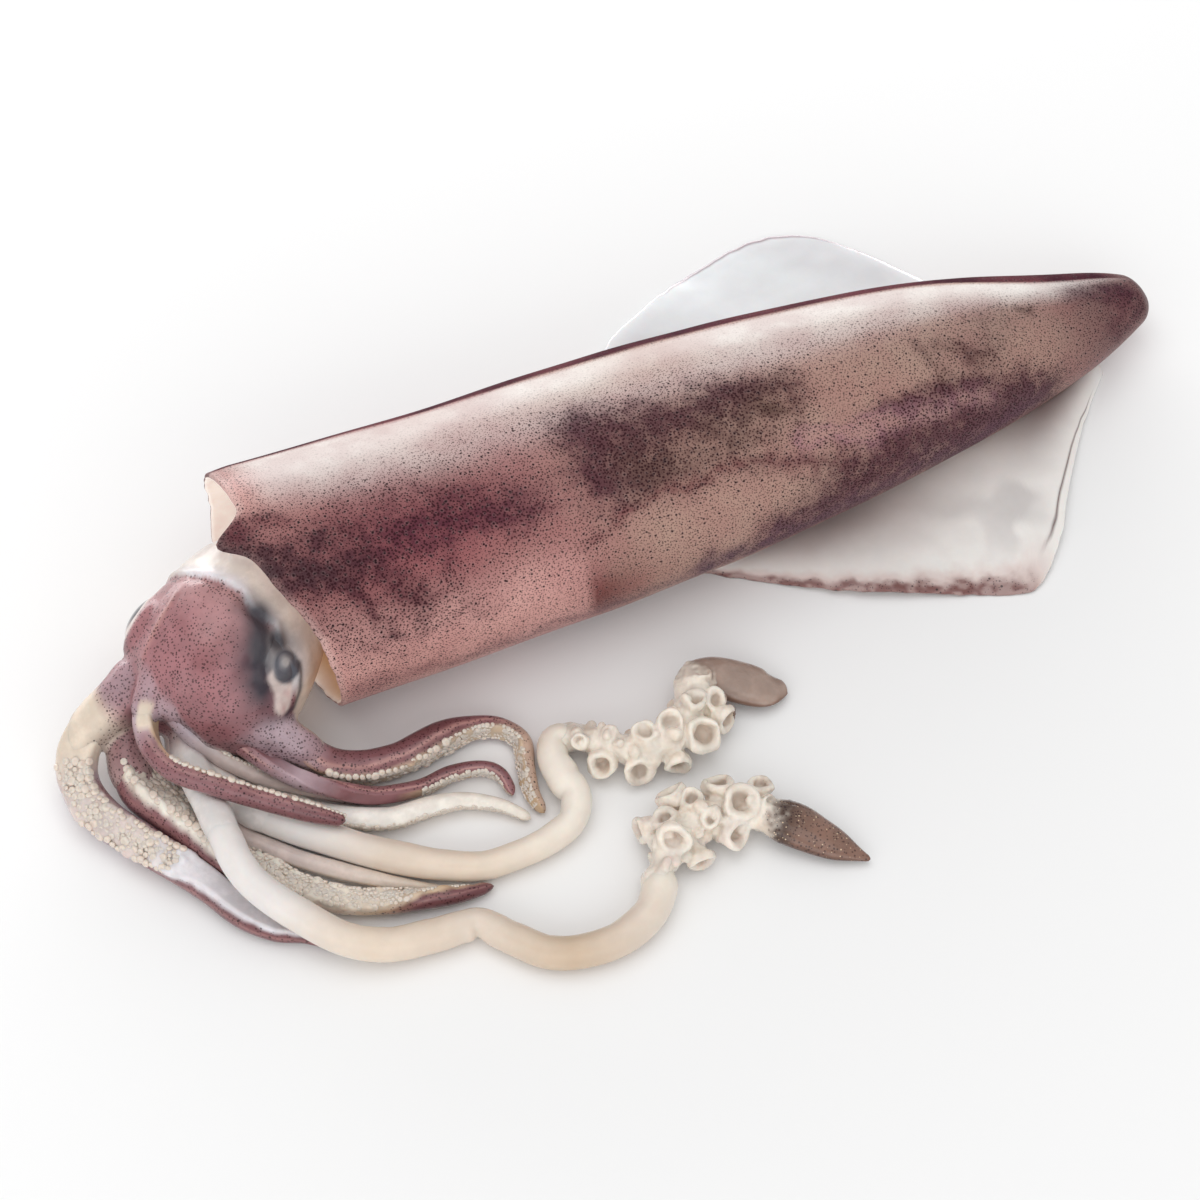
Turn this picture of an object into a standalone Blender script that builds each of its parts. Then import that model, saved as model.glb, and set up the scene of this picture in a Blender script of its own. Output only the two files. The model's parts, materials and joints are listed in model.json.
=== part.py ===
"""Whole raw squid, 240 mm in the mantle, lying on a flat surface.

The mantle (the body tube) runs along X, its rim at x = 0 and its tip towards +X. The fins lie flat
on the surface and come out from under it, the head turns away to -X and -Y, and the arms and
tentacles sweep round beside the head into the space next to the mantle. All the points below are
in millimetres in that frame. The finished squid hangs from one empty, which puts the middle of its
footprint at the origin.
"""
import math

import bmesh
import bpy
from mathutils import Vector

MM = 0.001
GAP = 0.35                       # clearance between neighbouring pieces

MANTLE_LENGTH = 240.0
MANTLE_HALF_WIDTH = 32.4
MANTLE_TAPER_START = 0.3         # share of the length that keeps the full width
MANTLE_TAPER = 0.7               # lower is fuller
MANTLE_TIP_RADIUS = 5.0          # the taper ends in a ball of about this radius
MANTLE_TIP_HEIGHT = 9.5         # height of the tip's centre above the surface
MANTLE_SAG = 0.8                 # how far the soft underside presses flat
MANTLE_RIM_Y = 3.3               # middle line at the rim and at the tip
MANTLE_TIP_Y = 1.2
MANTLE_BOW = 2.4                 # sideways bow between them
MANTLE_WALL = 3.8
MOUTH_DEPTH = 30.0
MANTLE_RINGS = 17
MANTLE_CROWDING = 1.7            # how much the rings crowd together towards the tip
MANTLE_SIDES = 36
MOUTH_RINGS = 4

FIN_CLEARANCE = 0.9              # the fins' upper faces stay this far from the mantle
FIN_ROOT_HEIGHT = 1.2            # each fin starts where this much height is free under the mantle
FIN_ROOT_THICKNESS = 3.4
FIN_EDGE_THICKNESS = 0.9
FIN_STATIONS = 16
FIN_ACROSS = 6
# outer edge of each fin: x, distance from the mantle's middle line
FAR_FIN_EDGE = [(86, 14), (98, 34), (111, 53.5), (124, 60.5), (139, 66.5), (158, 69.8),
                (174, 65), (184, 55), (192, 44), (201, 32), (212, 19), (221, 11)]
NEAR_FIN_EDGE = [(86, 8), (95, 16), (104, 22), (118, 32.5), (130, 41.5), (141, 47.5), (158, 55.5),
                 (168, 60), (174, 60), (185, 51), (192, 42), (204, 28), (214, 18), (222, 11)]

HEAD_AXIS = Vector((-0.825, -0.566, 0.0))
HEAD_SIDE = Vector((0.566, -0.825, 0.0))
HEAD_SIDES = 20
# centre x, y, z, half width, half height, from the neck in the mantle's mouth to the crown
HEAD_SECTIONS = [(16, 3, 27, 10, 10), (12, 3.5, 26.8, 14, 14), (4, 4.6, 26, 17.2, 17),
                 (-3.1, 4.6, 24.6, 18.8, 18.2), (-9.7, 0.2, 23.2, 20.6, 19),
                 (-16.3, -4.5, 22, 22.2, 19), (-22.9, -9.2, 20.6, 21.8, 17.5),
                 (-28.3, -12.8, 19.4, 18.8, 14.8), (-31.8, -15, 18.4, 14.2, 11),
                 (-34, -16.6, 17.6, 8, 6)]

# centre x, y, z and half sizes across the head, up, and out of the head
NEAR_EYE = ((-9.0, -17.6, 31.0), (7.4, 6.6, 4.2), 35.0)
FAR_EYE = ((-30.0, 9.4, 25.6), (7.4, 6.4, 4.0), 165.0)

ARM_STEPS = 2                    # spline points to each stretch between route points
CUT_LEAD = 1.5                   # straight run on each side of the cut between crown and arm
ROOT_FLARE = 0.4                 # how much thicker each arm is where it leaves the head
# number of route points fused to the crown, then x, y, z, radius along the middle of the arm
ARM_ROUTES = {
    "arm_1": (2, [(-36, 0, 21, 4.6), (-42.5, -2.8, 18, 4.9), (-49.3, -3.2, 14, 5),
                  (-55.8, -7, 10.2, 5), (-58.4, -14.5, 7, 5), (-56, -23.6, 5.4, 4.7),
                  (-51, -32.5, 5, 4.5), (-45.5, -42, 4.6, 4.2), (-41, -50.6, 4, 3.8),
                  (-37.5, -59, 3.6, 3.4), (-32.5, -66, 3, 2.8), (-26, -70.5, 2.4, 2.2),
                  (-20, -76.5, 1.6, 1.4)]),
    "arm_2": (2, [(-33, 0, 12, 4.2), (-40, -5, 9.5, 4.4), (-45, -11, 8, 4.6),
                  (-46, -20, 6.5, 5.1), (-41.7, -29.5, 6, 5.1), (-37.7, -38.5, 5.3, 4.6),
                  (-33.7, -47, 5, 3.8), (-28, -52.5, 4.6, 3.4), (-23, -59.5, 4.4, 3.2),
                  (-16, -66.5, 4.2, 3.2), (-8, -71, 4, 3), (0.5, -74, 3.6, 2.7),
                  (9.5, -76.5, 2.8, 2.1), (17.5, -77.5, 1.8, 1.2)]),
    "arm_3": (3, [(-30, -6, 8, 2.8), (-34, -14, 5.5, 2.8), (-35, -22, 3.6, 2.8),
                  (-32.5, -31, 3, 2.6), (-29.3, -40, 2.8, 2.6), (-24, -47, 2.7, 2.5),
                  (-19, -53, 2.8, 2.5), (-12.5, -59.5, 3, 2.5), (-5.5, -65.2, 2.6, 2.1),
                  (1.5, -69.5, 1.8, 1.3), (7, -72.5, 1.2, 0.8)]),
    "arm_4": (2, [(-22, -15, 11, 2.9), (-24, -24, 7, 2.9), (-19.5, -32, 3.6, 2.9),
                  (-13, -40.5, 3.1, 2.9), (-5, -47, 3.2, 2.9), (3.5, -51.5, 3.2, 2.9),
                  (13, -52.5, 3, 2.7), (21, -54.5, 2.7, 2.3), (28, -59, 2.2, 1.8),
                  (33, -65, 1.6, 1.3)]),
    "arm_5": (2, [(-34, -5, 26, 3.2), (-38, -10, 24, 3.2), (-40.5, -14.5, 21.5, 3.1),
                  (-41, -20, 19.8, 2.9), (-39, -27, 19.6, 2.7), (-33, -34, 19.8, 2.6),
                  (-24, -40, 15.6, 2.6), (-14.5, -47, 12.8, 2.4), (-7.5, -51.5, 10.5, 1.4)]),
    "arm_6": (4, [(-30, -9, 27, 2.8), (-33, -13, 23.5, 2.8), (-32.5, -17, 20, 2.5),
                  (-29.5, -21.5, 15.8, 2.3), (-25.5, -27.3, 13.2, 2), (-18.5, -32.5, 8.8, 2),
                  (-11.5, -37, 7, 1.9), (-3.5, -41.5, 3.4, 1.7), (4.5, -45.5, 1.6, 1)]),
    "arm_7": (3, [(-25, -15, 26, 3.2), (-26, -18, 21.5, 3.2), (-22.5, -23.5, 17, 2.9),
                  (-18, -31, 14.2, 2.4), (-12.5, -37.5, 11.6, 2.4), (-5, -42, 8.3, 2.2),
                  (3, -45.5, 5.4, 2.2), (13, -47, 3.7, 2.1), (21, -46.5, 3.2, 2.1),
                  (28, -48, 3, 1.9), (31.5, -51.5, 2.7, 1.8), (32, -57.5, 2, 1.3)]),
    "arm_8": (2, [(-20, -19, 24, 4.6), (-16.5, -24, 19.5, 4.7), (-10.2, -29, 13.7, 4.2),
                  (-5, -34, 8.6, 4.3), (2, -37.2, 6.2, 4.2), (11.5, -38.8, 5.6, 4.2),
                  (22.5, -37.5, 5, 4.1), (30.5, -37.4, 4, 3), (37, -40, 3.2, 2.5),
                  (40, -45.5, 2.8, 2.4), (38, -52, 2.6, 2.2), (36.2, -59, 2.3, 1.9),
                  (36.5, -65, 1.8, 1.3)]),
}
TENTACLE_ROUTES = {
    "tentacle_near": (2, [(-29, -9, 15, 3.2), (-33.5, -20, 13, 3.2), (-34, -29, 13.2, 3.4),
                          (-34, -37, 13.2, 3.6), (-34.5, -46, 14.5, 3.8), (-34.5, -54, 14.8, 3.9),
                          (-32.5, -60.5, 13, 3.9), (-27.5, -68, 10, 4), (-20, -77.5, 7.5, 4),
                          (-11.5, -82.5, 5.6, 4.1), (-1.5, -84.5, 4.6, 4), (6.5, -85.5, 4.3, 3.8),
                          (10.5, -87, 4.3, 3.8), (15, -93, 4.3, 3.9), (20.5, -99.5, 4.3, 4),
                          (27.5, -103, 4.4, 4), (36.5, -104, 4.5, 4.1), (45, -101.5, 4.7, 4.2),
                          (50.5, -96.5, 4.8, 4.2), (53, -92, 4.8, 4.2)]),
    "tentacle_far": (2, [(-24, -9, 9, 3.4), (-28.5, -21, 9, 3.5), (-28.4, -30, 8.2, 3.5),
                         (-25, -37, 7.2, 3.8), (-19, -44, 6.2, 4), (-13, -50, 5.4, 4),
                         (-6.5, -56.5, 4.8, 3.9), (1, -63, 4.7, 3.9), (8.5, -68.5, 4.5, 3.7),
                         (17, -72.5, 3.8, 3.5), (26, -73.6, 3.8, 3.4), (34, -73.2, 4, 3.5),
                         (40.5, -71, 4.4, 3.7), (44, -66, 4.6, 4), (44, -60, 4.6, 4.1),
                         (44.4, -54, 4.6, 4), (47, -50, 4.6, 3.9), (51.8, -51.5, 4.6, 4)]),
}

CLUB_SIDES = 10
CLUB_STALKS = {"club_near": "tentacle_near", "club_far": "tentacle_far"}
# x, y, z, half width, half height along the middle of the club, out to its leaf-shaped tip
CLUB_SECTIONS = {
    "club_near": [(58, -88.6, 6, 4.6, 4.4), (63, -86.2, 6.6, 5, 4.4),
                  (68, -85.6, 6.8, 5.2, 4.4), (75, -87.6, 6.4, 5, 4.2), (81, -91, 5.6, 5.2, 3.8),
                  (86, -95, 4.6, 5.8, 3.1), (90, -100, 3.6, 5, 2.5), (94.5, -105.5, 2.6, 3.7, 1.8),
                  (98.5, -110, 1.9, 1.5, 0.8)],
    "club_far": [(55.8, -56.2, 5.4, 4.3, 4.2), (60.6, -60.2, 6.4, 4.6, 4.4),
                 (66.6, -62.6, 7, 4.8, 4.4), (73, -61.8, 7.6, 4.9, 4.5), (78.2, -57, 7.8, 5, 4.4),
                 (82.6, -51.6, 7.4, 4.9, 4.2), (87.6, -50.8, 6.2, 5, 3.4), (93, -54.4, 4.6, 5.8, 2.6),
                 (98.5, -58.2, 3.2, 5.2, 2), (103.6, -59.2, 2, 2, 0.9)],
}
SUCKER_SIDES = 10
SUCKER_DEPTH = 1.5               # height of a sucker cup, in radii
# turned profile of a sucker cup, in radii: radius, height
SUCKER_PROFILE = [(0.5, -0.6), (0.85, 0.4), (1.0, SUCKER_DEPTH), (0.72, SUCKER_DEPTH), (0.5, 0.8)]
# large suckers: x, y, z of the mouth, the way it faces, radius
CLUB_SUCKERS = {
    "club_near": [((63, -76, 8), (-0.2, 0.8, 0.55), 3.4), ((52.5, -81.5, 6), (-1, 0.1, 0.1), 3.1),
                  ((57.5, -90, 11), (-0.3, -0.8, 0.5), 3.7), ((62.5, -95, 4.6), (0, -1, -0.1), 3.2),
                  ((74.5, -79, 9), (0.3, 0.55, 0.8), 3.8), ((76, -88, 11.5), (0.15, -0.5, 0.85), 4.1),
                  ((72.5, -94, 6), (0.4, -0.9, 0.1), 3.5)],
    "club_far": [((53, -62, 6.2), (-0.3, -0.85, 0.4), 3.1), ((60.5, -67.5, 4.6), (-0.4, -0.9, -0.1), 3.4),
                 ((69.5, -69.5, 4.8), (-0.3, -0.9, -0.1), 3.2), ((77.5, -67.5, 9), (0.05, -0.7, 0.7), 4),
                 ((85.5, -64, 6.5), (0.6, -0.8, 0), 3.1), ((84.5, -59, 9.5), (0.3, -0.6, 0.7), 2.8)],
}

SKIN = ("skin", (0.30, 0.17, 0.16), 0.35)
HEAD_SKIN = ("head skin", (0.28, 0.12, 0.12), 0.35)
ARM_FLESH = ("arm flesh", (0.42, 0.28, 0.26), 0.35)
STALK_FLESH = ("stalk flesh", (0.75, 0.66, 0.54), 0.3)
CLUB_FLESH = ("club flesh", (0.68, 0.60, 0.50), 0.35)
FIN_FLESH = ("fin flesh", (0.80, 0.78, 0.76), 0.25)
EYE_GLASS = ("eye", (0.10, 0.10, 0.12), 0.15)


def clear_scene():
    for old in list(bpy.data.objects):
        bpy.data.objects.remove(old, do_unlink=True)


def new_collection(name):
    collection = bpy.data.collections.new(name)
    bpy.context.scene.collection.children.link(collection)
    return collection


def material(finish):
    name, colour, roughness = finish
    found = bpy.data.materials.get(name)
    if found:
        return found
    made = bpy.data.materials.new(name)
    made.use_nodes = True
    shader = made.node_tree.nodes["Principled BSDF"]
    shader.inputs["Base Color"].default_value = (*colour, 1.0)
    shader.inputs["Roughness"].default_value = roughness
    shader.inputs["Metallic"].default_value = 0.0
    return made


def mesh_object(name, mesh, collection, finish=None):
    made = bpy.data.objects.new(name, mesh)
    collection.objects.link(made)
    if finish:
        mesh.materials.append(material(finish))
    return made


def smooth_step(low, high, value):
    t = min(max((value - low) / (high - low), 0.0), 1.0)
    return t * t * (3 - 2 * t)


def through(points, steps):
    """Points on a smooth curve through the given points; every number in a point is smoothed."""
    curve = []
    for i in range(len(points) - 1):
        before = points[max(i - 1, 0)]
        start, end = points[i], points[i + 1]
        after = points[min(i + 2, len(points) - 1)]
        for k in range(steps):
            t = k / steps
            curve.append(tuple(
                0.5 * (2 * b + (c - a) * t + (2 * a - 5 * b + 4 * c - d) * t * t
                       + (3 * b - a - 3 * c + d) * t ** 3)
                for a, b, c, d in zip(before, start, end, after)))
    curve.append(tuple(points[-1]))
    return curve


def ellipse(centre, side, up, half_width, half_height, count, phase=0.0):
    ring = []
    for i in range(count):
        angle = 2 * math.pi * i / count + phase
        ring.append(centre + side * (half_width * math.cos(angle)) + up * (half_height * math.sin(angle)))
    return ring


def loft(name, rings, collection, finish=None):
    """One closed surface through rings of equal length, capped at both ends. Points are in mm."""
    form = bmesh.new()
    rows = [[form.verts.new(point * MM) for point in ring] for ring in rings]
    for lower, upper in zip(rows, rows[1:]):
        for i in range(len(lower)):
            j = (i + 1) % len(lower)
            form.faces.new((lower[i], lower[j], upper[j], upper[i]))
    form.faces.new(rows[0][::-1])
    form.faces.new(rows[-1])
    bmesh.ops.recalc_face_normals(form, faces=form.faces)
    mesh = bpy.data.meshes.new(name)
    form.to_mesh(mesh)
    form.free()
    mesh.shade_smooth()
    return mesh_object(name, mesh, collection, finish)


def tube(name, points, collection, finish=None):
    """Round tube with flat ends, its radius given with each point."""
    curve = bpy.data.curves.new(name, "CURVE")
    curve.dimensions = "3D"
    curve.bevel_depth = MM
    curve.bevel_resolution = 2
    curve.use_fill_caps = True
    spline = curve.splines.new("POLY")
    spline.points.add(len(points) - 1)
    for spot, (x, y, z, radius) in zip(spline.points, points):
        spot.co = (x * MM, y * MM, z * MM, 1.0)
        spot.radius = radius
    return mesh_object(name, curve, collection, finish)


def as_mesh(curve_object, collection):
    """The same tube as a mesh with its end caps welded on, for use in a Boolean."""
    depsgraph = bpy.context.evaluated_depsgraph_get()
    mesh = bpy.data.meshes.new_from_object(curve_object.evaluated_get(depsgraph))
    form = bmesh.new()
    form.from_mesh(mesh)
    bmesh.ops.remove_doubles(form, verts=form.verts, dist=0.00001)
    bmesh.ops.recalc_face_normals(form, faces=form.faces)
    form.to_mesh(mesh)
    form.free()
    name, place = curve_object.name, curve_object.matrix_world.copy()
    bpy.data.objects.remove(curve_object, do_unlink=True)
    made = mesh_object(name, mesh, collection)
    made.matrix_world = place
    return made


def boolean(target, cutter, operation):
    cutter.hide_render = True
    cutter.display_type = "WIRE"
    step = target.modifiers.new(cutter.name, "BOOLEAN")
    step.operation = operation
    step.solver = "EXACT"
    step.object = cutter


def mantle_section(x):
    """Middle line y, height of the centre, half width and half height of the mantle at x."""
    u = min(max(x / MANTLE_LENGTH, 0.0), 1.0)
    t = max(0.0, (u - MANTLE_TAPER_START) / (1 - MANTLE_TAPER_START))
    tip_share = (MANTLE_TIP_RADIUS / MANTLE_HALF_WIDTH) ** (1 / MANTLE_TAPER)
    into_tip = max(0.0, 1 - (MANTLE_LENGTH - x) / MANTLE_TIP_RADIUS)
    half_width = MANTLE_HALF_WIDTH * (1 - t * t * (1 - tip_share)) ** MANTLE_TAPER
    half_width *= math.sqrt(1 - min(into_tip, 1.0) ** 2)
    half_height = half_width * (0.78 + 0.5 * (u - 0.5) ** 2)
    near_tip = smooth_step(0.8, 1.0, u)
    centre = math.hypot(half_height, MANTLE_TIP_HEIGHT * near_tip) - MANTLE_SAG * (1 - near_tip)
    middle = MANTLE_RIM_Y + (MANTLE_TIP_Y - MANTLE_RIM_Y) * u - MANTLE_BOW * math.sin(math.pi * u)
    return middle, centre, half_width, half_height


def rim_offset(degrees):
    """How far the mantle's rim stands out from x = 0, by the angle round it from +Y over the top."""
    point = 7.6 * math.exp(-((degrees - 95) / 8) ** 2)
    shoulder = 3.5 * math.exp(-((degrees - 112) / 22) ** 2)
    flap = 3.5 * math.exp(-((degrees - 330) / 16) ** 2)
    return -0.8 - 4.4 * math.cos(math.radians(degrees - 45)) - point - shoulder - flap


def mantle_ring(x, inset, rim_share):
    """Ring round the mantle at x, drawn in by the wall, following the rim's outline by rim_share."""
    ring = []
    for i in range(MANTLE_SIDES):
        degrees = 360 * (i + 0.5) / MANTLE_SIDES
        place = x + rim_share * rim_offset(degrees)
        middle, centre, half_width, half_height = mantle_section(place)
        angle = math.radians(degrees)
        y = middle + (half_width - inset) * math.cos(angle)
        z = centre + (half_height - inset) * math.sin(angle)
        ring.append(Vector((place, y, max(z, inset))))
    return ring


def build_mantle(parts):
    rings = []
    for i in range(MOUTH_RINGS + 1):
        depth = MOUTH_DEPTH * (1 - i / MOUTH_RINGS)
        rings.append(mantle_ring(depth, MANTLE_WALL, 1 - depth / MOUTH_DEPTH))
    for i in range(MANTLE_RINGS):
        u = 1 - (1 - i / MANTLE_RINGS) ** MANTLE_CROWDING
        rings.append(mantle_ring(u * MANTLE_LENGTH, 0.0, max(0.0, 1 - u * 6)))
    rings.append(mantle_ring(MANTLE_LENGTH * 0.9985, 0.0, 0.0))
    return loft("mantle", rings, parts, SKIN)


def build_fin(name, side, edge, parts):
    """A thin sheet from under the mantle out to its edge, clear of the mantle's round underside."""
    outline = through(edge, 4)
    rings = []
    first, last = edge[0][0], edge[-1][0]
    for i in range(FIN_STATIONS):
        x = first + (last - first) * i / (FIN_STATIONS - 1)
        reach = next(b[1] + (a[1] - b[1]) * (b[0] - x) / (b[0] - a[0])
                     for a, b in zip(outline, outline[1:]) if b[0] >= x)
        middle, centre, half_width, half_height = mantle_section(x)
        clear_width, clear_height = half_width + FIN_CLEARANCE, half_height + FIN_CLEARANCE
        level = min((centre - FIN_ROOT_HEIGHT) / clear_height, 1.0)
        root = clear_width * math.sqrt(1 - level ** 2)
        below, above = [], []
        for k in range(FIN_ACROSS + 1):
            share = k / FIN_ACROSS
            out = root + (max(reach, root + 2) - root) * share
            roof = math.inf
            if out < clear_width:
                roof = centre - clear_height * math.sqrt(1 - (out / clear_width) ** 2)
            floor = 1.1 * share ** 2 * (1 + math.sin(x / 9.0 + side))
            thickness = FIN_EDGE_THICKNESS + (FIN_ROOT_THICKNESS - FIN_EDGE_THICKNESS) * (1 - share ** 2)
            below.append(Vector((x, middle + side * out, floor)))
            above.append(Vector((x, middle + side * out, min(floor + thickness, roof))))
        rings.append(below + above[::-1])
    return loft(name, rings, parts, FIN_FLESH)


def split_route(fused, route):
    """The stretch fused to the crown and the free stretch, their cut faces parallel, one gap apart."""
    points = through(route, ARM_STEPS)
    cut = fused * ARM_STEPS
    middle = Vector(points[cut][:3])
    radius = points[cut][3]
    along = (Vector(points[cut + 1][:3]) - Vector(points[cut - 1][:3])).normalized()
    ends = [(*(middle + along * reach), radius) for reach in (-CUT_LEAD, -GAP / 2, GAP / 2, CUT_LEAD)]
    root = [(x, y, z, thick * (1 + ROOT_FLARE * (1 - i / cut)))
            for i, (x, y, z, thick) in enumerate(points[:cut])]
    return root + ends[:2], ends[2:] + points[cut + 1:]


def build_head(parts, cutters):
    rings = []
    for x, y, z, half_width, half_height in HEAD_SECTIONS:
        rings.append(ellipse(Vector((x, y, z)), HEAD_SIDE, Vector((0, 0, 1)),
                             half_width, half_height, HEAD_SIDES))
    head = loft("head", rings, parts, HEAD_SKIN)
    for name, (fused, route) in {**ARM_ROUTES, **TENTACLE_ROUTES}.items():
        fused_points = split_route(fused, route)[0]
        boolean(head, as_mesh(tube(name + "_root", fused_points, cutters), cutters), "UNION")
    return head


def eyeball(name, eye, swell, collection, finish=None):
    """A flattened ball, its short axis pointing out of the head at the given angle."""
    centre, (across, upward, outward), degrees = eye
    angle = math.radians(degrees)
    out = HEAD_SIDE * math.cos(angle) + Vector((0, 0, 1)) * math.sin(angle)
    rise = out.cross(HEAD_AXIS)
    form = bmesh.new()
    bmesh.ops.create_uvsphere(form, u_segments=12, v_segments=8, radius=1.0)
    for spot in form.verts:
        local = spot.co.copy()
        spot.co = (Vector(centre) + HEAD_AXIS * local.x * (across + swell)
                   + rise * local.y * (upward + swell) + out * local.z * (outward + swell)) * MM
    form.normal_update()
    mesh = bpy.data.meshes.new(name)
    form.to_mesh(mesh)
    form.free()
    mesh.shade_smooth()
    return mesh_object(name, mesh, collection, finish)


def build_eyes(head, parts, cutters):
    for name, eye in (("eye_near", NEAR_EYE), ("eye_far", FAR_EYE)):
        eyeball(name, eye, 0.0, parts, EYE_GLASS)
        boolean(head, eyeball(name + "_socket", eye, GAP, cutters), "DIFFERENCE")


def sucker(name, mouth, facing, radius, cutters):
    facing = Vector(facing).normalized()
    side = facing.orthogonal().normalized()
    up = facing.cross(side)
    foot = Vector(mouth) - facing * (SUCKER_DEPTH * radius)
    rings = []
    for width, height in SUCKER_PROFILE:
        centre = foot + facing * (height * radius)
        rings.append(ellipse(centre, side, up, width * radius, width * radius, SUCKER_SIDES))
    return loft(name, rings, cutters)


def club_ring(centre, along, half_width, half_height):
    side = along.cross(Vector((0, 0, 1))).normalized()
    return ellipse(centre, side, side.cross(along), half_width, half_height, CLUB_SIDES)


def build_club(name, stalk, parts, cutters):
    """The club goes on where its stalk ends, one gap further on and square to it."""
    stalk_points = through(TENTACLE_ROUTES[stalk][1], ARM_STEPS)
    last, end = Vector(stalk_points[-2][:3]), Vector(stalk_points[-1][:3])
    along = (end - last).normalized()
    radius = stalk_points[-1][3]
    rings = [club_ring(end + along * reach, along, radius, radius) for reach in (GAP, CUT_LEAD)]
    sections = CLUB_SECTIONS[name]
    for i, (x, y, z, half_width, half_height) in enumerate(sections):
        before = Vector(sections[i - 1][:3]) if i else end
        after = Vector(sections[min(i + 1, len(sections) - 1)][:3])
        rings.append(club_ring(Vector((x, y, z)), (after - before).normalized(), half_width, half_height))
    club = loft(name, rings, parts, CLUB_FLESH)
    for i, (mouth, facing, radius) in enumerate(CLUB_SUCKERS[name]):
        boolean(club, sucker(f"{name}_sucker_{i + 1}", mouth, facing, radius, cutters), "UNION")
    return club


def stand_on_origin(parts, cutters):
    """Hang everything from one empty that brings the middle of the footprint to the origin."""
    bpy.context.view_layer.update()
    depsgraph = bpy.context.evaluated_depsgraph_get()
    corners = []
    for piece in parts.objects:
        mesh = bpy.data.meshes.new_from_object(piece.evaluated_get(depsgraph))
        corners += [spot.co.copy() for spot in mesh.vertices]
        bpy.data.meshes.remove(mesh)
    low = [min(c[i] for c in corners) for i in range(3)]
    high = [max(c[i] for c in corners) for i in range(3)]
    squid = bpy.data.objects.new("squid", None)
    bpy.context.scene.collection.objects.link(squid)
    squid.location = (-(low[0] + high[0]) / 2, -(low[1] + high[1]) / 2, -low[2])
    for piece in [*parts.objects, *cutters.objects]:
        piece.parent = squid


def main():
    clear_scene()
    parts = new_collection("whole squid")
    cutters = new_collection("cutters")
    build_mantle(parts)
    build_fin("fin_far", 1, FAR_FIN_EDGE, parts)
    build_fin("fin_near", -1, NEAR_FIN_EDGE, parts)
    head = build_head(parts, cutters)
    build_eyes(head, parts, cutters)
    for name, (fused, route) in ARM_ROUTES.items():
        tube(name, split_route(fused, route)[1], parts, ARM_FLESH)
    for name, (fused, route) in TENTACLE_ROUTES.items():
        tube(name, split_route(fused, route)[1], parts, STALK_FLESH)
    for name, stalk in CLUB_STALKS.items():
        build_club(name, stalk, parts, cutters)
    stand_on_origin(parts, cutters)


main()
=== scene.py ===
"""Looks of the whole raw squid: wet freckled skin, glossy white fins, cream suckers.

Points are in millimetres in the squid's own frame, as in the part's source: the mantle's rim at
x = 0, its tip towards +X, the surface it lies on at z = 0. placed() brings them to the part's frame.
"""

import json
import math

import bmesh
import bpy
import numpy as np
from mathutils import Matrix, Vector, noise
from mathutils.kdtree import KDTree


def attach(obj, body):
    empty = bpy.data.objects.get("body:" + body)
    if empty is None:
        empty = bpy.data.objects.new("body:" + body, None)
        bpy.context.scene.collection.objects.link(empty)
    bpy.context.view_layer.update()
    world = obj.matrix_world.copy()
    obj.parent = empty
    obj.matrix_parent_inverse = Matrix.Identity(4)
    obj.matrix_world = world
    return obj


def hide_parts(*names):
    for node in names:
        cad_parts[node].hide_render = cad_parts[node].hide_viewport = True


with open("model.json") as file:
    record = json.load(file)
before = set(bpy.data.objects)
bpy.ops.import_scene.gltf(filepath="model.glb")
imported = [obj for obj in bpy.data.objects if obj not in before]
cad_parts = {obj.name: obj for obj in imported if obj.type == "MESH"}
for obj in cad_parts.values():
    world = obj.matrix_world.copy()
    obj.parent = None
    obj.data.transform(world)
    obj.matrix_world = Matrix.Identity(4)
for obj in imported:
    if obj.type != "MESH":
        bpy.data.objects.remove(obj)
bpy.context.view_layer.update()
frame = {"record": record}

MM = 0.001
REST_POINT = Vector((100.0, 0.106, 0.0))       # where the record's rest mount is, in the squid's frame
SHIFT = Vector(frame["record"]["mounts"][0]["pos_m"]) - REST_POINT * MM
UP = Vector((0.0, 0.0, 1.0))


# ---------------------------------------------------------------- colours

def srgb(red, green, blue):
    """Linear colour from the usual 0 to 255 values."""
    return tuple((c / 255 / 12.92) if c <= 10 else ((c / 255 + 0.055) / 1.055) ** 2.4
                 for c in (red, green, blue))


DUSTY_SKIN = srgb(170, 126, 120)
TAN_SKIN = srgb(178, 146, 132)
ROSE_SKIN = srgb(148, 84, 88)
PEACH_SKIN = srgb(218, 170, 162)
PALE_SKIN_AND_SHEEN = srgb(224, 220, 215)
GREY_SKIN_AND_SHEEN = srgb(198, 178, 174)
OLIVE_SKIN = srgb(160, 136, 124)
TIP_SKIN = srgb(126, 96, 92)
BROWN_PATCH = srgb(104, 60, 54)
INK = srgb(28, 14, 30)
VIOLET = srgb(62, 16, 40)
WINE = srgb(88, 26, 40)
ROSE = srgb(126, 62, 66)
OLIVE = srgb(72, 54, 44)
SLATE_VIOLET = srgb(84, 58, 80)
PINK_LINE = srgb(178, 130, 144)
FRECKLE = srgb(30, 4, 12)
FINE_DOT = srgb(40, 4, 14)
EDGE_WINE = srgb(58, 12, 30)
CREASE_SHADE_PLUM = srgb(84, 50, 56)
DOT_RING = srgb(206, 182, 180)
CREAM = srgb(226, 210, 192)
WHITE_FLESH = srgb(228, 223, 220)
STALK_PALE = srgb(222, 208, 194)
STALK_WARM = srgb(204, 182, 158)
IVORY = srgb(240, 232, 220)
INNER_WHITE = srgb(250, 244, 236)
PORCELAIN = srgb(242, 238, 234)
FIN_WHITE = srgb(229, 231, 233)
FIN_GREY = srgb(206, 202, 206)
FIN_REFLECTION_GREY = srgb(176, 170, 170)
FIN_MANTLE_SHADOW = srgb(144, 126, 124)
FIN_CREASE = srgb(100, 72, 70)
FIN_RIM = srgb(140, 118, 128)
TORN_PINK = srgb(196, 160, 152)
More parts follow.
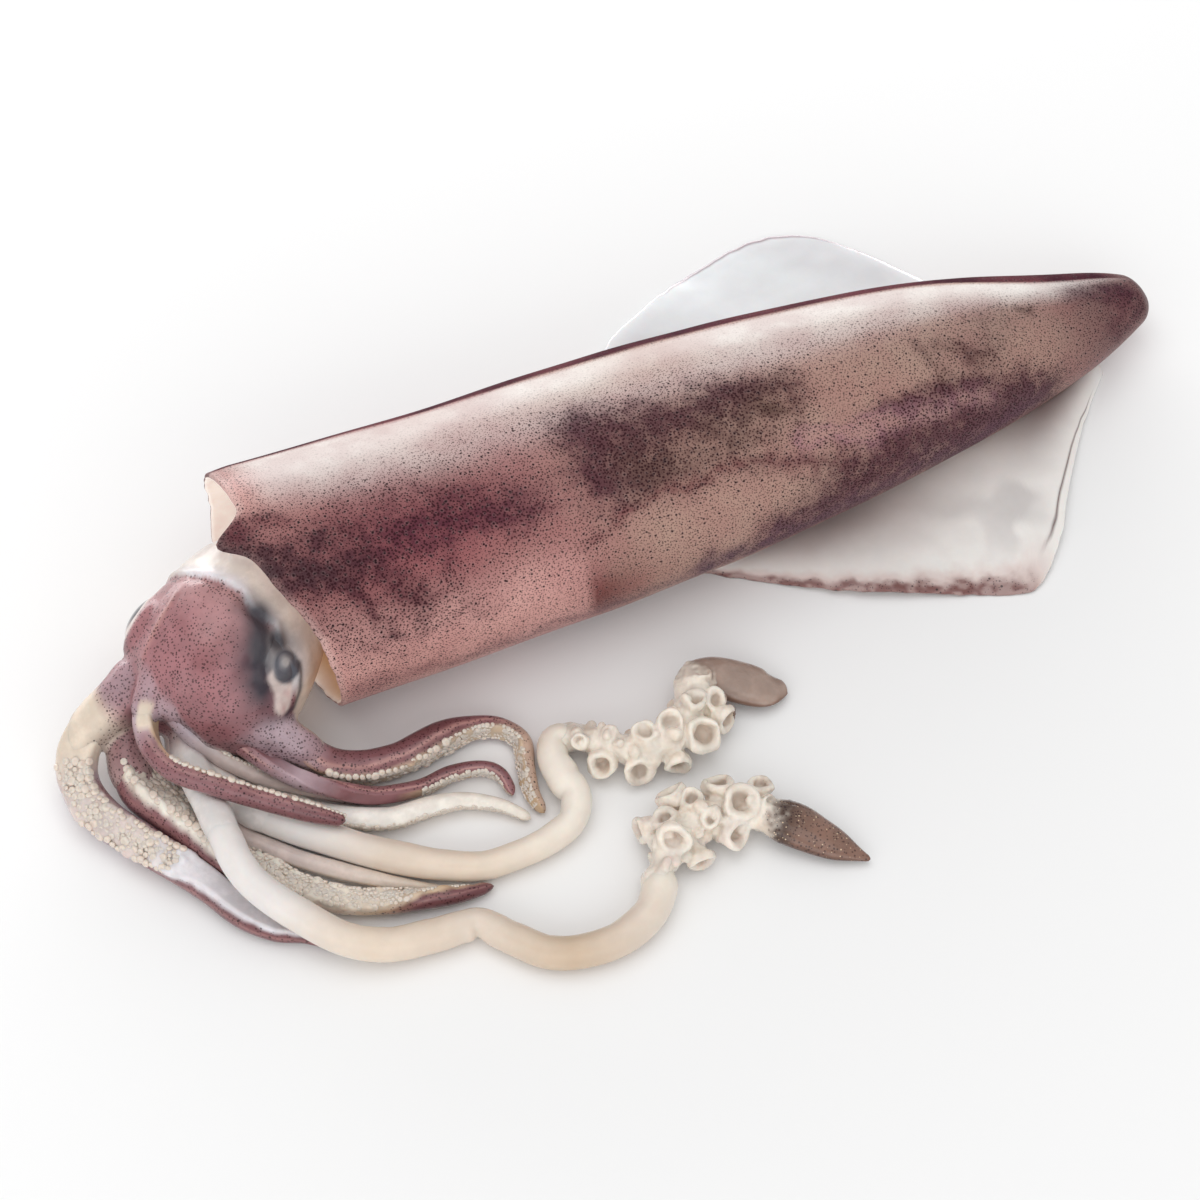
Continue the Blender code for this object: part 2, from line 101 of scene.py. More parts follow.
TORN_BROWN = srgb(104, 48, 44)
LILAC = srgb(186, 164, 172)
MAUVE = srgb(142, 98, 102)
PLUM = srgb(118, 74, 78)
TAN_PINK = srgb(196, 168, 150)
TAN_FLESH = srgb(200, 172, 142)
OCHRE = srgb(176, 130, 84)
PALE_GREY_PINK = srgb(216, 200, 194)
FACE_ROSE = srgb(164, 114, 118)
FACE_PALE = srgb(198, 160, 158)
CREST_PINK = srgb(190, 144, 138)
BULGE_HIGHLIGHT_GREY = srgb(176, 160, 168)
BLUE_WHITE = srgb(226, 222, 226)
COLLAR_CREAM = srgb(208, 196, 190)
EYE_DARK = srgb(36, 36, 48)
IRIS_GREY = srgb(128, 128, 134)
LENS_RING = srgb(66, 70, 82)
LENS_GREY_AND_GLINT = srgb(172, 170, 170)
EYE_LOBE = srgb(216, 200, 194)
EYE_PALE = srgb(208, 202, 202)
CLUB_CREAM = srgb(236, 226, 213)
GOLD_GLINT = srgb(236, 212, 178)
BEAD_CREAM = srgb(226, 210, 196)
BEAD_HOLLOW = srgb(218, 202, 188)
CUP_HOLLOW = srgb(194, 174, 158)
CUP_SHADE = srgb(196, 180, 168)
# lower and upper side of the bare leaf at each club's tip: painted darker below as shade, lighter above as a
# highlight
LEAF_SHADED_AND_LIT_BROWNS = {"club_near": (srgb(112, 82, 70), srgb(138, 106, 92)),
               "club_far": (srgb(128, 96, 80), srgb(168, 146, 134))}


def mix(first, second, share):
    """Blend of two colours, or of two arrays of colours, by a number or an array."""
    share = np.asarray(share, dtype=float)[..., None]
    return np.asarray(first) * (1 - share) + np.asarray(second) * share


def step(low, high, value):
    """Smooth rise from 0 at low to 1 at high; falls where low is the larger."""
    t = np.clip((np.asarray(value, dtype=float) - low) / (high - low), 0.0, 1.0)
    return t * t * (3 - 2 * t)


def bell(value, middle, width):
    """Smooth hump: 1 at the middle, about a third one width away from it."""
    return np.exp(-((np.asarray(value, dtype=float) - middle) / width) ** 2)


def all_over(colour, points):
    """One colour, given to every point."""
    return np.tile(colour, (len(points), 1))


# ---------------------------------------------------------------- points and meshes

def placed(points):
    """Points in mm in the squid's frame, brought to the part's frame in metres."""
    return np.asarray(points, dtype=float).reshape(-1, 3) * MM + np.array(SHIFT)


def through(points, steps):
    """Points on a smooth curve through the given points; every number in a point is smoothed."""
    points = [np.array(point, dtype=float) for point in points]
    curve = []
    for i in range(len(points) - 1):
        a, b, c, d = points[max(i - 1, 0)], points[i], points[i + 1], points[min(i + 2, len(points) - 1)]
        for k in range(steps):
            t = k / steps
            curve.append(0.5 * (2 * b + (c - a) * t + (2 * a - 5 * b + 4 * c - d) * t * t
                                + (3 * b - a - 3 * c + d) * t ** 3))
    curve.append(points[-1])
    return np.array(curve)


def evenly(points, spacing):
    """The same curve with its points a set distance apart along it."""
    steps = np.linalg.norm(np.diff(points[:, :3], axis=0), axis=1)
    travelled = np.concatenate(([0.0], np.cumsum(steps)))
    count = max(int(travelled[-1] / spacing), 8)
    places = np.linspace(0.0, travelled[-1], count + 1)
    return np.stack([np.interp(places, travelled, points[:, i]) for i in range(points.shape[1])], axis=1)


def lumps(points, size, seed=0.0):
    """Smooth noise between about -1 and 1 at points in mm, with lumps of the given size."""
    offset = Vector((seed * 17.3, seed * 5.1, seed * 9.7))
    return np.array([noise.noise(Vector(point) / size + offset) for point in points])


def path_distance(first, second, path, scale=1.0):
    """Distance of points from a path in the same two measures; scale stretches the path's second one."""
    nearest = np.full(len(first), np.inf)
    for (a0, b0), (a1, b1) in zip(path, path[1:]):
        from_a, from_b = first - a0, second - b0 * scale
        step_a, step_b = a1 - a0, (b1 - b0) * scale
        share = np.clip((from_a * step_a + from_b * step_b) / (step_a ** 2 + step_b ** 2 + 1e-9), 0, 1)
        nearest = np.minimum(nearest, np.hypot(from_a - share * step_a, from_b - share * step_b))
    return nearest


def nearest_on(curves, points):
    """For each point, which curve runs nearest, the share of its length there, and how far off it is."""
    tree = KDTree(sum(len(curve) for curve in curves))
    marks = []
    for number, curve in enumerate(curves):
        for i, spot in enumerate(curve):
            tree.insert(spot[:3], len(marks))
            marks.append((number, i / (len(curve) - 1), spot[3]))
    tree.balance()
    found = [tree.find(point) for point in points]
    which = np.array([marks[hit[1]][0] for hit in found])
    share = np.array([marks[hit[1]][1] for hit in found])
    radii = np.array([hit[2] / marks[hit[1]][2] for hit in found])
    return which, share, radii


def rings_round(curve, left, upper, width, height, angle):
    """Rings of points round a curve, as wide and as high as given at each of its points."""
    return (curve[:, None, :3] + left[:, None, :] * (width[:, None] * np.cos(angle))[..., None]
            + upper[:, None, :] * (height[:, None] * np.sin(angle))[..., None])


def grid_object(name, rings):
    """Closed mesh over rings of points in mm, with a middle point in each end. Returns it and its points."""
    rings = np.asarray(rings, dtype=float)
    count, sides = rings.shape[:2]
    points = np.vstack([rings.reshape(-1, 3), rings[0].mean(axis=0), rings[-1].mean(axis=0)])
    first, last = len(points) - 2, len(points) - 1
    faces = []
    for i in range(count - 1):
        for j in range(sides):
            k = (j + 1) % sides
            faces.append((i * sides + j, i * sides + k, (i + 1) * sides + k, (i + 1) * sides + j))
    for j in range(sides):
        k = (j + 1) % sides
        faces.append((first, k, j))
        faces.append((last, (count - 1) * sides + j, (count - 1) * sides + k))
    return mesh_object(name, points, faces), points


def mesh_object(name, points, faces):
    """Smooth mesh over points in mm, with its faces turned outwards."""
    mesh = bpy.data.meshes.new(name)
    mesh.from_pydata([tuple(p) for p in placed(points)], [], faces)
    form = bmesh.new()
    form.from_mesh(mesh)
    bmesh.ops.recalc_face_normals(form, faces=form.faces)
    form.to_mesh(mesh)
    form.free()
    mesh.shade_smooth()
    return new_object(name, mesh)


def new_object(name, data):
    made = bpy.data.objects.new(name, data)
    bpy.context.scene.collection.objects.link(made)
    return made


def read_raw(piece, what):
    """The places ("co") or the normals ("normal") of a mesh's points, as they are stored."""
    flat = np.empty(len(piece.data.vertices) * 3)
    piece.data.vertices.foreach_get(what, flat)
    return flat.reshape(-1, 3)


def read_points(piece):
    """A piece's points in mm in the squid's frame."""
    return (read_raw(piece, "co") - np.array(SHIFT)) / MM


def write_points(piece, points):
    """Move a piece's points to places given in mm in the squid's frame."""
    piece.data.vertices.foreach_set("co", placed(points).ravel())
    piece.data.update()


def baked(piece):
    """Replace a piece's mesh by the result of its modifiers, and drop them."""
    depsgraph = bpy.context.evaluated_depsgraph_get()
    mesh = bpy.data.meshes.new_from_object(piece.evaluated_get(depsgraph))
    piece.modifiers.clear()
    old, piece.data = piece.data, mesh
    bpy.data.meshes.remove(old)
    mesh.name = piece.name
    mesh.shade_smooth()


def join(first, others):
    """Add the meshes of other pieces to the first one's, and drop those pieces."""
    form = bmesh.new()
    for piece in (first, *others):
        form.from_mesh(piece.data)
    form.to_mesh(first.data)
    form.free()
    for piece in others:
        mesh = piece.data
        bpy.data.objects.remove(piece, do_unlink=True)
        bpy.data.meshes.remove(mesh)


def grown_together(piece, others, voxel, softening, times):
    """Join pieces into one closed skin with soft creases. Returns its points in mm and its normals."""
    join(piece, others)
    remesh = piece.modifiers.new("one skin", "REMESH")
    remesh.mode = "VOXEL"
    remesh.voxel_size = voxel
    soften = piece.modifiers.new("soft creases", "SMOOTH")
    soften.factor = softening
    soften.iterations = times
    baked(piece)
    return read_points(piece), read_raw(piece, "normal")


def paint(piece, name, values):
    """Store one number or one colour for each point of the mesh."""
    values = np.asarray(values, dtype=float)
    if values.ndim == 2:
        layer = piece.data.attributes.new(name, "FLOAT_COLOR", "POINT")
        colours = np.hstack([np.clip(values, 0, 1), np.ones((len(values), 1))])
        layer.data.foreach_set("color", colours.ravel())
    else:
        layer = piece.data.attributes.new(name, "FLOAT", "POINT")
        layer.data.foreach_set("value", values)


def finish_piece(piece, material, slot, *nodes):
    """Give a piece its material and say what it rides on and the solids it stands for; the slot is not used.
    """
    piece.data.materials.clear()
    piece.data.materials.append(material)
    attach(piece, "root")
    if nodes:
        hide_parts(*nodes)


# ---------------------------------------------------------------- shader building

class Graph:
    """Adds nodes to one node tree and joins them up."""

    def __init__(self, tree):
        self.tree = tree

    def add(self, kind, feeds=None, **settings):
        made = self.tree.nodes.new(kind)
        for key, value in settings.items():
            setattr(made, key, value)
        for socket, value in (feeds or {}).items():
            self.feed(made.inputs[socket], value)
        return made

    def feed(self, socket, value):
        if isinstance(value, bpy.types.NodeSocket):
            self.tree.links.new(value, socket)
        else:
            socket.default_value = value

    def maths(self, operation, first, second=0.0):
        return self.add("ShaderNodeMath", {0: first, 1: second}, operation=operation).outputs[0]

    def times(self, first, *others):
        for other in others:
            first = self.maths("MULTIPLY", first, other)
        return first

    def ramp(self, value, low, high, out_low=0.0, out_high=1.0):
        node = self.add("ShaderNodeMapRange", {"Value": value, "From Min": low, "From Max": high,
                                               "To Min": out_low, "To Max": out_high},
                        interpolation_type="SMOOTHSTEP")
        return node.outputs["Result"]

    def blend(self, share, first, second, mode="MIX"):
        node = self.add("ShaderNodeMix", data_type="RGBA", blend_type=mode)
        for socket, value in ((node.inputs[0], share), (node.inputs[6], first), (node.inputs[7], second)):
            if isinstance(value, tuple) and len(value) == 3:
                value = (*value, 1.0)
            self.feed(socket, value)
        return node.outputs[2]

    def clouds(self, place, size, low=0.3, high=0.7, detail=4.0):
        """Mask of soft ragged patches of a size in metres."""
        feeds = {"Vector": place, "Size": size, "Low": low, "High": high, "Detail": detail}
        return self.group(MOTTLE, **feeds).outputs["Mask"]

    def attribute(self, name, output="Fac"):
        return self.add("ShaderNodeAttribute", attribute_name=name).outputs[output]

    def group(self, tree, **feeds):
        made = self.add("ShaderNodeGroup", node_tree=tree)
        for name, value in feeds.items():
            self.feed(made.inputs[name.replace("_", " ")], value)
        return made


def new_group(name, inputs, outputs):
    """Empty node group with float inputs, plus a Vector, and float outputs."""
    tree = bpy.data.node_groups.new(name, "ShaderNodeTree")
    tree.interface.new_socket("Vector", in_out="INPUT", socket_type="NodeSocketVector")
    for label, value in inputs.items():
        socket = tree.interface.new_socket(label, in_out="INPUT", socket_type="NodeSocketFloat")
        socket.default_value = value
    for label in outputs:
        tree.interface.new_socket(label, in_out="OUTPUT", socket_type="NodeSocketFloat")
    graph = Graph(tree)
    return graph, graph.add("NodeGroupInput").outputs, graph.add("NodeGroupOutput").inputs


def freckle_group(name, dimensions):
    """Round spots of uneven size, a set distance apart in metres, and a wider ring round each."""
    sizes = {"Spacing": 0.0013, "Size": 0.3, "Variation": 0.6}
    graph, given, result = new_group(name, sizes, ["Mask", "Ring"])
    scale = graph.maths("DIVIDE", 1.0, given["Spacing"])
    cells = graph.add("ShaderNodeTexVoronoi", {"Vector": given["Vector"], "Scale": scale, "Randomness": 1.0},
                      voronoi_dimensions=dimensions)
    pick = graph.add("ShaderNodeSeparateColor", {0: cells.outputs["Color"]}).outputs[0]
    share = graph.maths("SUBTRACT", 1.0, graph.times(pick, given["Variation"]))
    radius = graph.times(given["Size"], share)
    near = graph.maths("DIVIDE", cells.outputs["Distance"], radius)
    graph.feed(result["Mask"], graph.ramp(near, 1.15, 0.65))
    graph.feed(result["Ring"], graph.ramp(near, 2.3, 1.5))
    return graph.tree


def mottle_group():
    """Cloudy patches with soft ragged edges; size in metres."""
    sizes = {"Size": 0.01, "Detail": 4.0, "Low": 0.4, "High": 0.6}
    graph, given, result = new_group("Mottle", sizes, ["Mask"])
    scale = graph.maths("DIVIDE", 1.0, given["Size"])
    cloud = graph.add("ShaderNodeTexNoise", {"Vector": given["Vector"], "Scale": scale,
                                             "Detail": given["Detail"], "Roughness": 0.6})
    graph.feed(result["Mask"], graph.ramp(cloud.outputs["Fac"], given["Low"], given["High"]))
    return graph.tree


def wet_group():
    """Height in metres of fine skin grain over soft folds."""
    graph, given, result = new_group("Wet relief", {"Grain Size": 0.0006, "Grain Depth": 0.00003,
                                                    "Fold Size": 0.008, "Fold Depth": 0.0002}, ["Height"])
    heights = []
    for kind, detail in (("Grain", 2.0), ("Fold", 1.0)):
        scale = graph.maths("DIVIDE", 1.0, given[kind + " Size"])
        cloud = graph.add("ShaderNodeTexNoise", {"Vector": given["Vector"], "Scale": scale, "Detail": detail})
        heights.append(graph.times(cloud.outputs["Fac"], given[kind + " Depth"]))
    graph.feed(result["Height"], graph.maths("ADD", *heights))
    return graph.tree


FRECKLES = freckle_group("Freckles", "3D")
SKIN_DOTS = freckle_group("Skin dots", "2D")
MOTTLE = mottle_group()
WET = wet_group()


def new_material(name, roughness, coat, coat_roughness, soft=0.0, soft_reach=0.002):
    """A wet material; soft is how much light goes through the flesh and soft_reach how far, in metres."""
    material = bpy.data.materials.new(name)
    material.use_nodes = True
    graph = Graph(material.node_tree)
    shader = material.node_tree.nodes["Principled BSDF"]
    shader.inputs["Roughness"].default_value = roughness
    shader.inputs["Metallic"].default_value = 0.0
    shader.inputs["IOR"].default_value = 1.4
    shader.inputs["Specular IOR Level"].default_value = 0.3
    shader.inputs["Coat Weight"].default_value = coat
    shader.inputs["Coat Roughness"].default_value = coat_roughness
    shader.inputs["Coat IOR"].default_value = 1.36
    if soft:
        shader.inputs["Subsurface Weight"].default_value = soft
        shader.inputs["Subsurface Scale"].default_value = soft_reach
        shader.inputs["Subsurface Radius"].default_value = (1.0, 0.55, 0.4)
    place = graph.add("ShaderNodeTexCoord").outputs["Object"]
    return material, graph, shader.inputs, place


def relief(graph, inputs, place, strength, **sizes):
    """Bump a surface with skin grain and soft folds."""
    height = graph.group(WET, Vector=place, **sizes).outputs["Height"]
    bump = graph.add("ShaderNodeBump", {"Height": height, "Strength": strength, "Distance": 1.0})
    graph.feed(inputs["Normal"], bump.outputs["Normal"])


def mantle_material():
    """Painted skin, smoky stains, a dense stipple that thickens in them, large dots with pale rings, and a
    painted glow on the mouth's inner wall.
    """
    material, graph, inputs, place = new_material("wet mantle skin", 0.42, 0.4, 0.2)
    inputs["Specular IOR Level"].default_value = 0.14
    freckled = graph.attribute("freckled")
    ragged = graph.maths("SUBTRACT", graph.clouds(place, 0.004, detail=8.0), 0.5)
    stain = graph.times(graph.attribute("stain"), graph.maths("ADD", 1.0, graph.times(ragged, 0.6)))
    rosy = graph.times(graph.clouds(place, 0.014), 0.3)
    colour = graph.blend(rosy, graph.attribute("skin colour", "Color"), ROSE_SKIN)
    depth = graph.ramp(stain, 0.0, 1.0, 0.0, 0.84)
    colour = graph.blend(depth, colour, graph.attribute("pigment", "Color"))
    over_skin = graph.attribute("over the skin", "Vector")
    patchy = graph.ramp(graph.clouds(place, 0.006, 0.25), 0.0, 1.0, 0.75, 1.1)
    fine_size = graph.times(graph.ramp(stain, 0.0, 0.9, 0.26, 0.42), patchy)
    for spacing, size, variation, strength in ((0.0008, fine_size, 0.35, 0.85), (0.00052, 0.3, 0.5, 0.42)):
        dots = graph.group(SKIN_DOTS, Vector=over_skin, Spacing=spacing, Size=size, Variation=variation)
        colour = graph.blend(graph.times(dots.outputs["Mask"], strength, freckled), colour, FINE_DOT)
    dots = graph.group(SKIN_DOTS, Vector=over_skin, Spacing=0.0021, Size=0.16, Variation=0.7)
    colour = graph.blend(graph.times(dots.outputs["Ring"], 0.06, freckled), colour, DOT_RING)
    colour = graph.blend(graph.times(dots.outputs["Mask"], freckled), colour, FRECKLE)
    graph.feed(inputs["Base Color"], colour)
    # painted glow: the inner wall of the mouth gives off its own colour as light
    painted_wall_glow = graph.blend(graph.attribute("inside"), (0.0, 0.0, 0.0), colour)
    graph.feed(inputs["Emission Color"], painted_wall_glow)
    inputs["Emission Strength"].default_value = PAINTED_WALL_GLOW
    shine = graph.attribute("shine")
    graph.feed(inputs["Coat Weight"], shine)
    graph.feed(inputs["Roughness"], graph.ramp(shine, 0.0, MANTLE_SHINE, 0.9, 0.42))
    relief(graph, inputs, place, 0.7, Grain_Size=0.0007, Grain_Depth=0.00004,
           Fold_Size=0.012, Fold_Depth=0.0003)
    return material


def flesh_material(name, roughness=0.35, coat=0.8, coat_roughness=0.12, soft=0.25, grain=0.00005,
                   fold_size=0.006, fold_depth=0.0002, freckle=FRECKLE, cloudy=0.12, spacing=0.0017):
    """Wet flesh whose colour is painted on its points, freckled where its freckled layer says."""
    material, graph, inputs, place = new_material(name, roughness, coat, coat_roughness, soft)
    freckled = graph.attribute("freckled")
    shade = graph.ramp(graph.clouds(place, 0.005, 0.3, 0.75), 0.0, 1.0, 1.0 - cloudy, 1.0 + cloudy / 2)
    grey = graph.add("ShaderNodeCombineColor", {0: shade, 1: shade, 2: shade}).outputs[0]
    colour = graph.blend(1.0, graph.attribute("skin colour", "Color"), grey, "MULTIPLY")
    strong = graph.ramp(freckled, 0.0, 0.35, 0.0, 0.7)
    size = graph.ramp(freckled, 0.2, 1.2, 0.26, 0.5)
    fine = graph.group(FRECKLES, Vector=place, Spacing=0.00075, Size=size, Variation=0.35).outputs["Mask"]
    colour = graph.blend(graph.times(fine, strong), colour, FINE_DOT)
    large = graph.group(FRECKLES, Vector=place, Spacing=spacing, Size=0.22, Variation=0.6).outputs["Mask"]
    colour = graph.blend(graph.times(large, 1.2, strong), colour, freckle)
    graph.feed(inputs["Base Color"], colour)
    relief(graph, inputs, place, 1.0, Grain_Size=0.0009, Grain_Depth=grain,
           Fold_Size=fold_size, Fold_Depth=fold_depth)
    return material


def sucker_material(name, wall, rim, hollow):
    """Flesh that changes from the outer wall over the rim to the hollow of each sucker."""
    material, graph, inputs, place = new_material(name, 0.3, 0.9, 0.1, 0.3)
    reach = graph.attribute("into cup")
    colour = graph.blend(graph.ramp(reach, 0.3, 0.6), wall, rim)
    colour = graph.blend(graph.ramp(reach, 0.8, 1.0), colour, hollow)
    colour = graph.blend(graph.times(graph.clouds(place, 0.004), 0.2), colour, PALE_GREY_PINK)
    graph.feed(inputs["Base Color"], colour)
    relief(graph, inputs, place, 0.6, Grain_Size=0.0005, Grain_Depth=0.00004,
           Fold_Size=0.003, Fold_Depth=0.0001)
    return material


# ---------------------------------------------------------------- mantle

MANTLE_LENGTH = 240.0
MANTLE_HALF_WIDTH = 32.4
MANTLE_TAPER_START = 0.3        # share of the length where the tube begins to narrow
MANTLE_TAPER = 0.7              # smaller keeps the tube full for longer
MANTLE_TIP_RADIUS = 5.0
MANTLE_TIP_HEIGHT = 9.5
MANTLE_SAG = 0.8                # how much of its belly is pressed flat on the table
MANTLE_RIM_Y = 3.3
MANTLE_TIP_Y = 1.2
MANTLE_BOW = 2.4                # how far its middle lies to the near side of a straight line
MANTLE_SHINE = 0.2              # coat on the clearest skin
PAINTED_WALL_GLOW = 0.3                 # how bright the painted glow on the mouth's thin inner wall is, standing in for light through the wall
RIM_WALL = 1.5                  # thickness of the mantle's wall at its rim, and deeper in its mouth
MOUTH_WALL = 3.4
MOUTH_DEPTH = 30.0
RIM_RAGGED = 0.35               # how far the cut rim wanders
SKIN_SWELL = 0.35               # depth and length of the skin's soft swells
SKIN_SWELL_LENGTH = 24.0
MANTLE_RINGS = 210
MANTLE_SIDES = 180
MOUTH_RINGS = 26
LIP_RINGS = 8
MOUTH_CROWDING = 1.4            # how much closer the rings stand at the rim than further off
MANTLE_CROWDING = 1.35
LAST_RING = 0.9985              # share of the length where the last ring closes the tip

STREAK_SPREAD = 1.45            # how much wider a streak's soft edge is than its half width
# Streaks of pigment on the mantle: pigment, depth, half width in mm, then the middle of the streak as
# (x, angle round the mantle from +Y over the top).
MANTLE_STREAKS = [
    (WINE, 0.26, 9.0, [(-6, 108), (8, 118), (26, 122), (44, 116), (56, 116)]),
    (WINE, 0.2, 9.0, [(76, 104), (96, 112), (120, 108)]),
    (INK, 1.0, 4.0, [(-12, 98), (-9, 107), (-4, 117), (1, 118), (7, 121), (11, 124)]),
    (INK, 0.7, 1.1, [(10, 124), (13, 139), (17, 156)]),
    (INK, 0.9, 5.0, [(-16, 96), (-12, 104), (-7, 112)]),
    (INK, 0.7, 2.6, [(8, 106), (15, 109), (18, 119), (21, 131), (24, 146), (24, 160)]),
    (INK, 0.25, 4.0, [(-6, 126), (0, 138), (4, 150), (9, 164)]),
    (WINE, 0.7, 1.8, [(-8, 92), (-2, 88), (3, 94)]),
    (WINE, 0.4, 6.0, [(18, 95), (29, 98), (42, 104)]),
    (VIOLET, 0.72, 4.4, [(27, 116), (39, 115), (47, 114), (56, 119)]),
    (VIOLET, 0.35, 2.2, [(39, 117), (36, 126), (36, 138)]),
    (WINE, 0.45, 6.0, [(16, 142), (28, 147), (37, 156)]),
    (WINE, 0.25, 3.0, [(4, 150), (14, 165), (20, 172)]),
    (VIOLET, 1.0, 6.5, [(78, 95), (84, 104), (84, 114), (78, 119)]),
    (VIOLET, 0.85, 4.6, [(84, 104), (92, 100), (103, 102), (113, 100)]),
    (VIOLET, 0.6, 2.2, [(112, 99), (120, 99), (130, 103)]),
    (OLIVE, 0.6, 6.0, [(88, 122), (100, 121), (112, 119), (124, 113)]),
    (OLIVE, 0.6, 1.4, [(122, 113), (126, 117)]),
    (ROSE, 0.5, 1.2, [(66, 146), (78, 137), (90, 133), (110, 133)]),
    (WINE, 0.6, 2.0, [(112, 137), (123, 143), (133, 151)]),
    (VIOLET, 0.9, 3.2, [(150, 136), (158, 138), (170, 135), (178, 143), (187, 163)]),
    (PINK_LINE, 0.9, 2.2, [(128, 133), (142, 137), (152, 144), (163, 147), (172, 149), (179, 155)]),
    (VIOLET, 0.8, 4.2, [(138, 157), (151, 154), (160, 158), (171, 162), (184, 173), (194, 174)]),
    (VIOLET, 0.9, 8.5, [(122, 184), (132, 178), (145, 173), (160, 171), (176, 173), (194, 176)]),
    (VIOLET, 0.6, 5.0, [(226, 150), (234, 134), (237, 112)]),
    (SLATE_VIOLET, 0.75, 5.0, [(98, 186), (116, 187), (136, 190), (156, 188), (176, 186), (192, 184)]),
    (SLATE_VIOLET, 0.45, 3.0, [(8, 186), (30, 190), (60, 192), (98, 192)]),
    (OLIVE, 0.45, 1.5, [(165, 99), (166, 112), (168, 126)]),
    (OLIVE, 0.6, 2.0, [(171, 106), (175, 115), (180, 125)]),
    (VIOLET, 0.35, 5.0, [(192, 96), (187, 108), (184, 122)]),
    (OLIVE, 0.7, 1.6, [(199, 95), (202, 99)]),
    (VIOLET, 0.8, 2.6, [(212, 86), (222, 94), (230, 104)]),
    (VIOLET, 0.5, 6.0, [(60, 228), (110, 236), (170, 236)]),
    (WINE, 0.45, 9.0, [(40, 300), (110, 318), (190, 320)]),
    (VIOLET, 0.5, 5.0, [(10, 28), (60, 20), (120, 14), (200, 10)])]


def mantle_section(x):
    """Middle line y, height of the centre, half width and half height of the mantle at x."""
    u = min(max(x / MANTLE_LENGTH, 0.0), 1.0)
    t = max(0.0, (u - MANTLE_TAPER_START) / (1 - MANTLE_TAPER_START))
    tip_share = (MANTLE_TIP_RADIUS / MANTLE_HALF_WIDTH) ** (1 / MANTLE_TAPER)
    half_width = MANTLE_HALF_WIDTH * (1 - t * t * (1 - tip_share)) ** MANTLE_TAPER
    into_tip = max(0.0, 1 - (MANTLE_LENGTH - x) / MANTLE_TIP_RADIUS)
    half_width *= math.sqrt(1 - min(into_tip, 1.0) ** 2)
    half_height = half_width * (0.78 + 0.5 * (u - 0.5) ** 2)
    near_tip = float(step(0.8, 1.0, u))
    centre = math.hypot(half_height, MANTLE_TIP_HEIGHT * near_tip) - MANTLE_SAG * (1 - near_tip)
    middle = MANTLE_RIM_Y + (MANTLE_TIP_Y - MANTLE_RIM_Y) * u - MANTLE_BOW * math.sin(math.pi * u)
    return middle, centre, half_width, half_height


def rim_offset(degrees):
    """How far the mantle's rim stands out from x = 0, by the angle round it from +Y over the top."""
    point = 7.6 * math.exp(-((degrees - 95) / 8) ** 2)
    shoulder = 3.5 * math.exp(-((degrees - 112) / 22) ** 2)
    flap = 3.5 * math.exp(-((degrees - 330) / 16) ** 2)
    return -0.8 - 4.4 * math.cos(math.radians(degrees - 45)) - point - shoulder - flap


def mantle_ring(x, inset, rim_share):
    """Ring of the mantle's skin, or of its inner wall where inset is more than 0."""
    ring = []
    for i in range(MANTLE_SIDES):
        degrees = 360 * i / MANTLE_SIDES
        ragged = RIM_RAGGED * noise.noise(Vector((degrees / 7.0, 0.0, 0.0)))
        place = x + rim_share * (rim_offset(degrees) + ragged)
        middle, centre, half_width, half_height = mantle_section(place)
        angle = math.radians(degrees)
        swell = noise.noise(Vector((place / SKIN_SWELL_LENGTH, math.cos(angle), math.sin(angle))))
        inward = inset + SKIN_SWELL + SKIN_SWELL * swell
        y = middle + (half_width - min(inward, half_width)) * math.cos(angle)
        z = centre + (half_height - min(inward, half_height)) * math.sin(angle)
        ring.append((place, y, max(z, inset)))
    return ring


def half_widths(x):
    """Half width of the mantle at each place along it."""
    return np.array([mantle_section(place)[2] for place in x])


def angle_round_mantle(points):
    """Angle in degrees of each point round the mantle, from +Y over the top."""
    sections = np.array([mantle_section(x) for x in points[:, 0]])
    across = (points[:, 1] - sections[:, 0]) / np.maximum(sections[:, 2], 0.5)
    rise = (points[:, 2] - sections[:, 1]) / np.maximum(sections[:, 3], 0.5)
    return np.degrees(np.arctan2(rise, across)) % 360


def turned(degrees, centre):
    """Angle away from a centre, between -180 and 180."""
    return (degrees - centre + 180) % 360 - 180


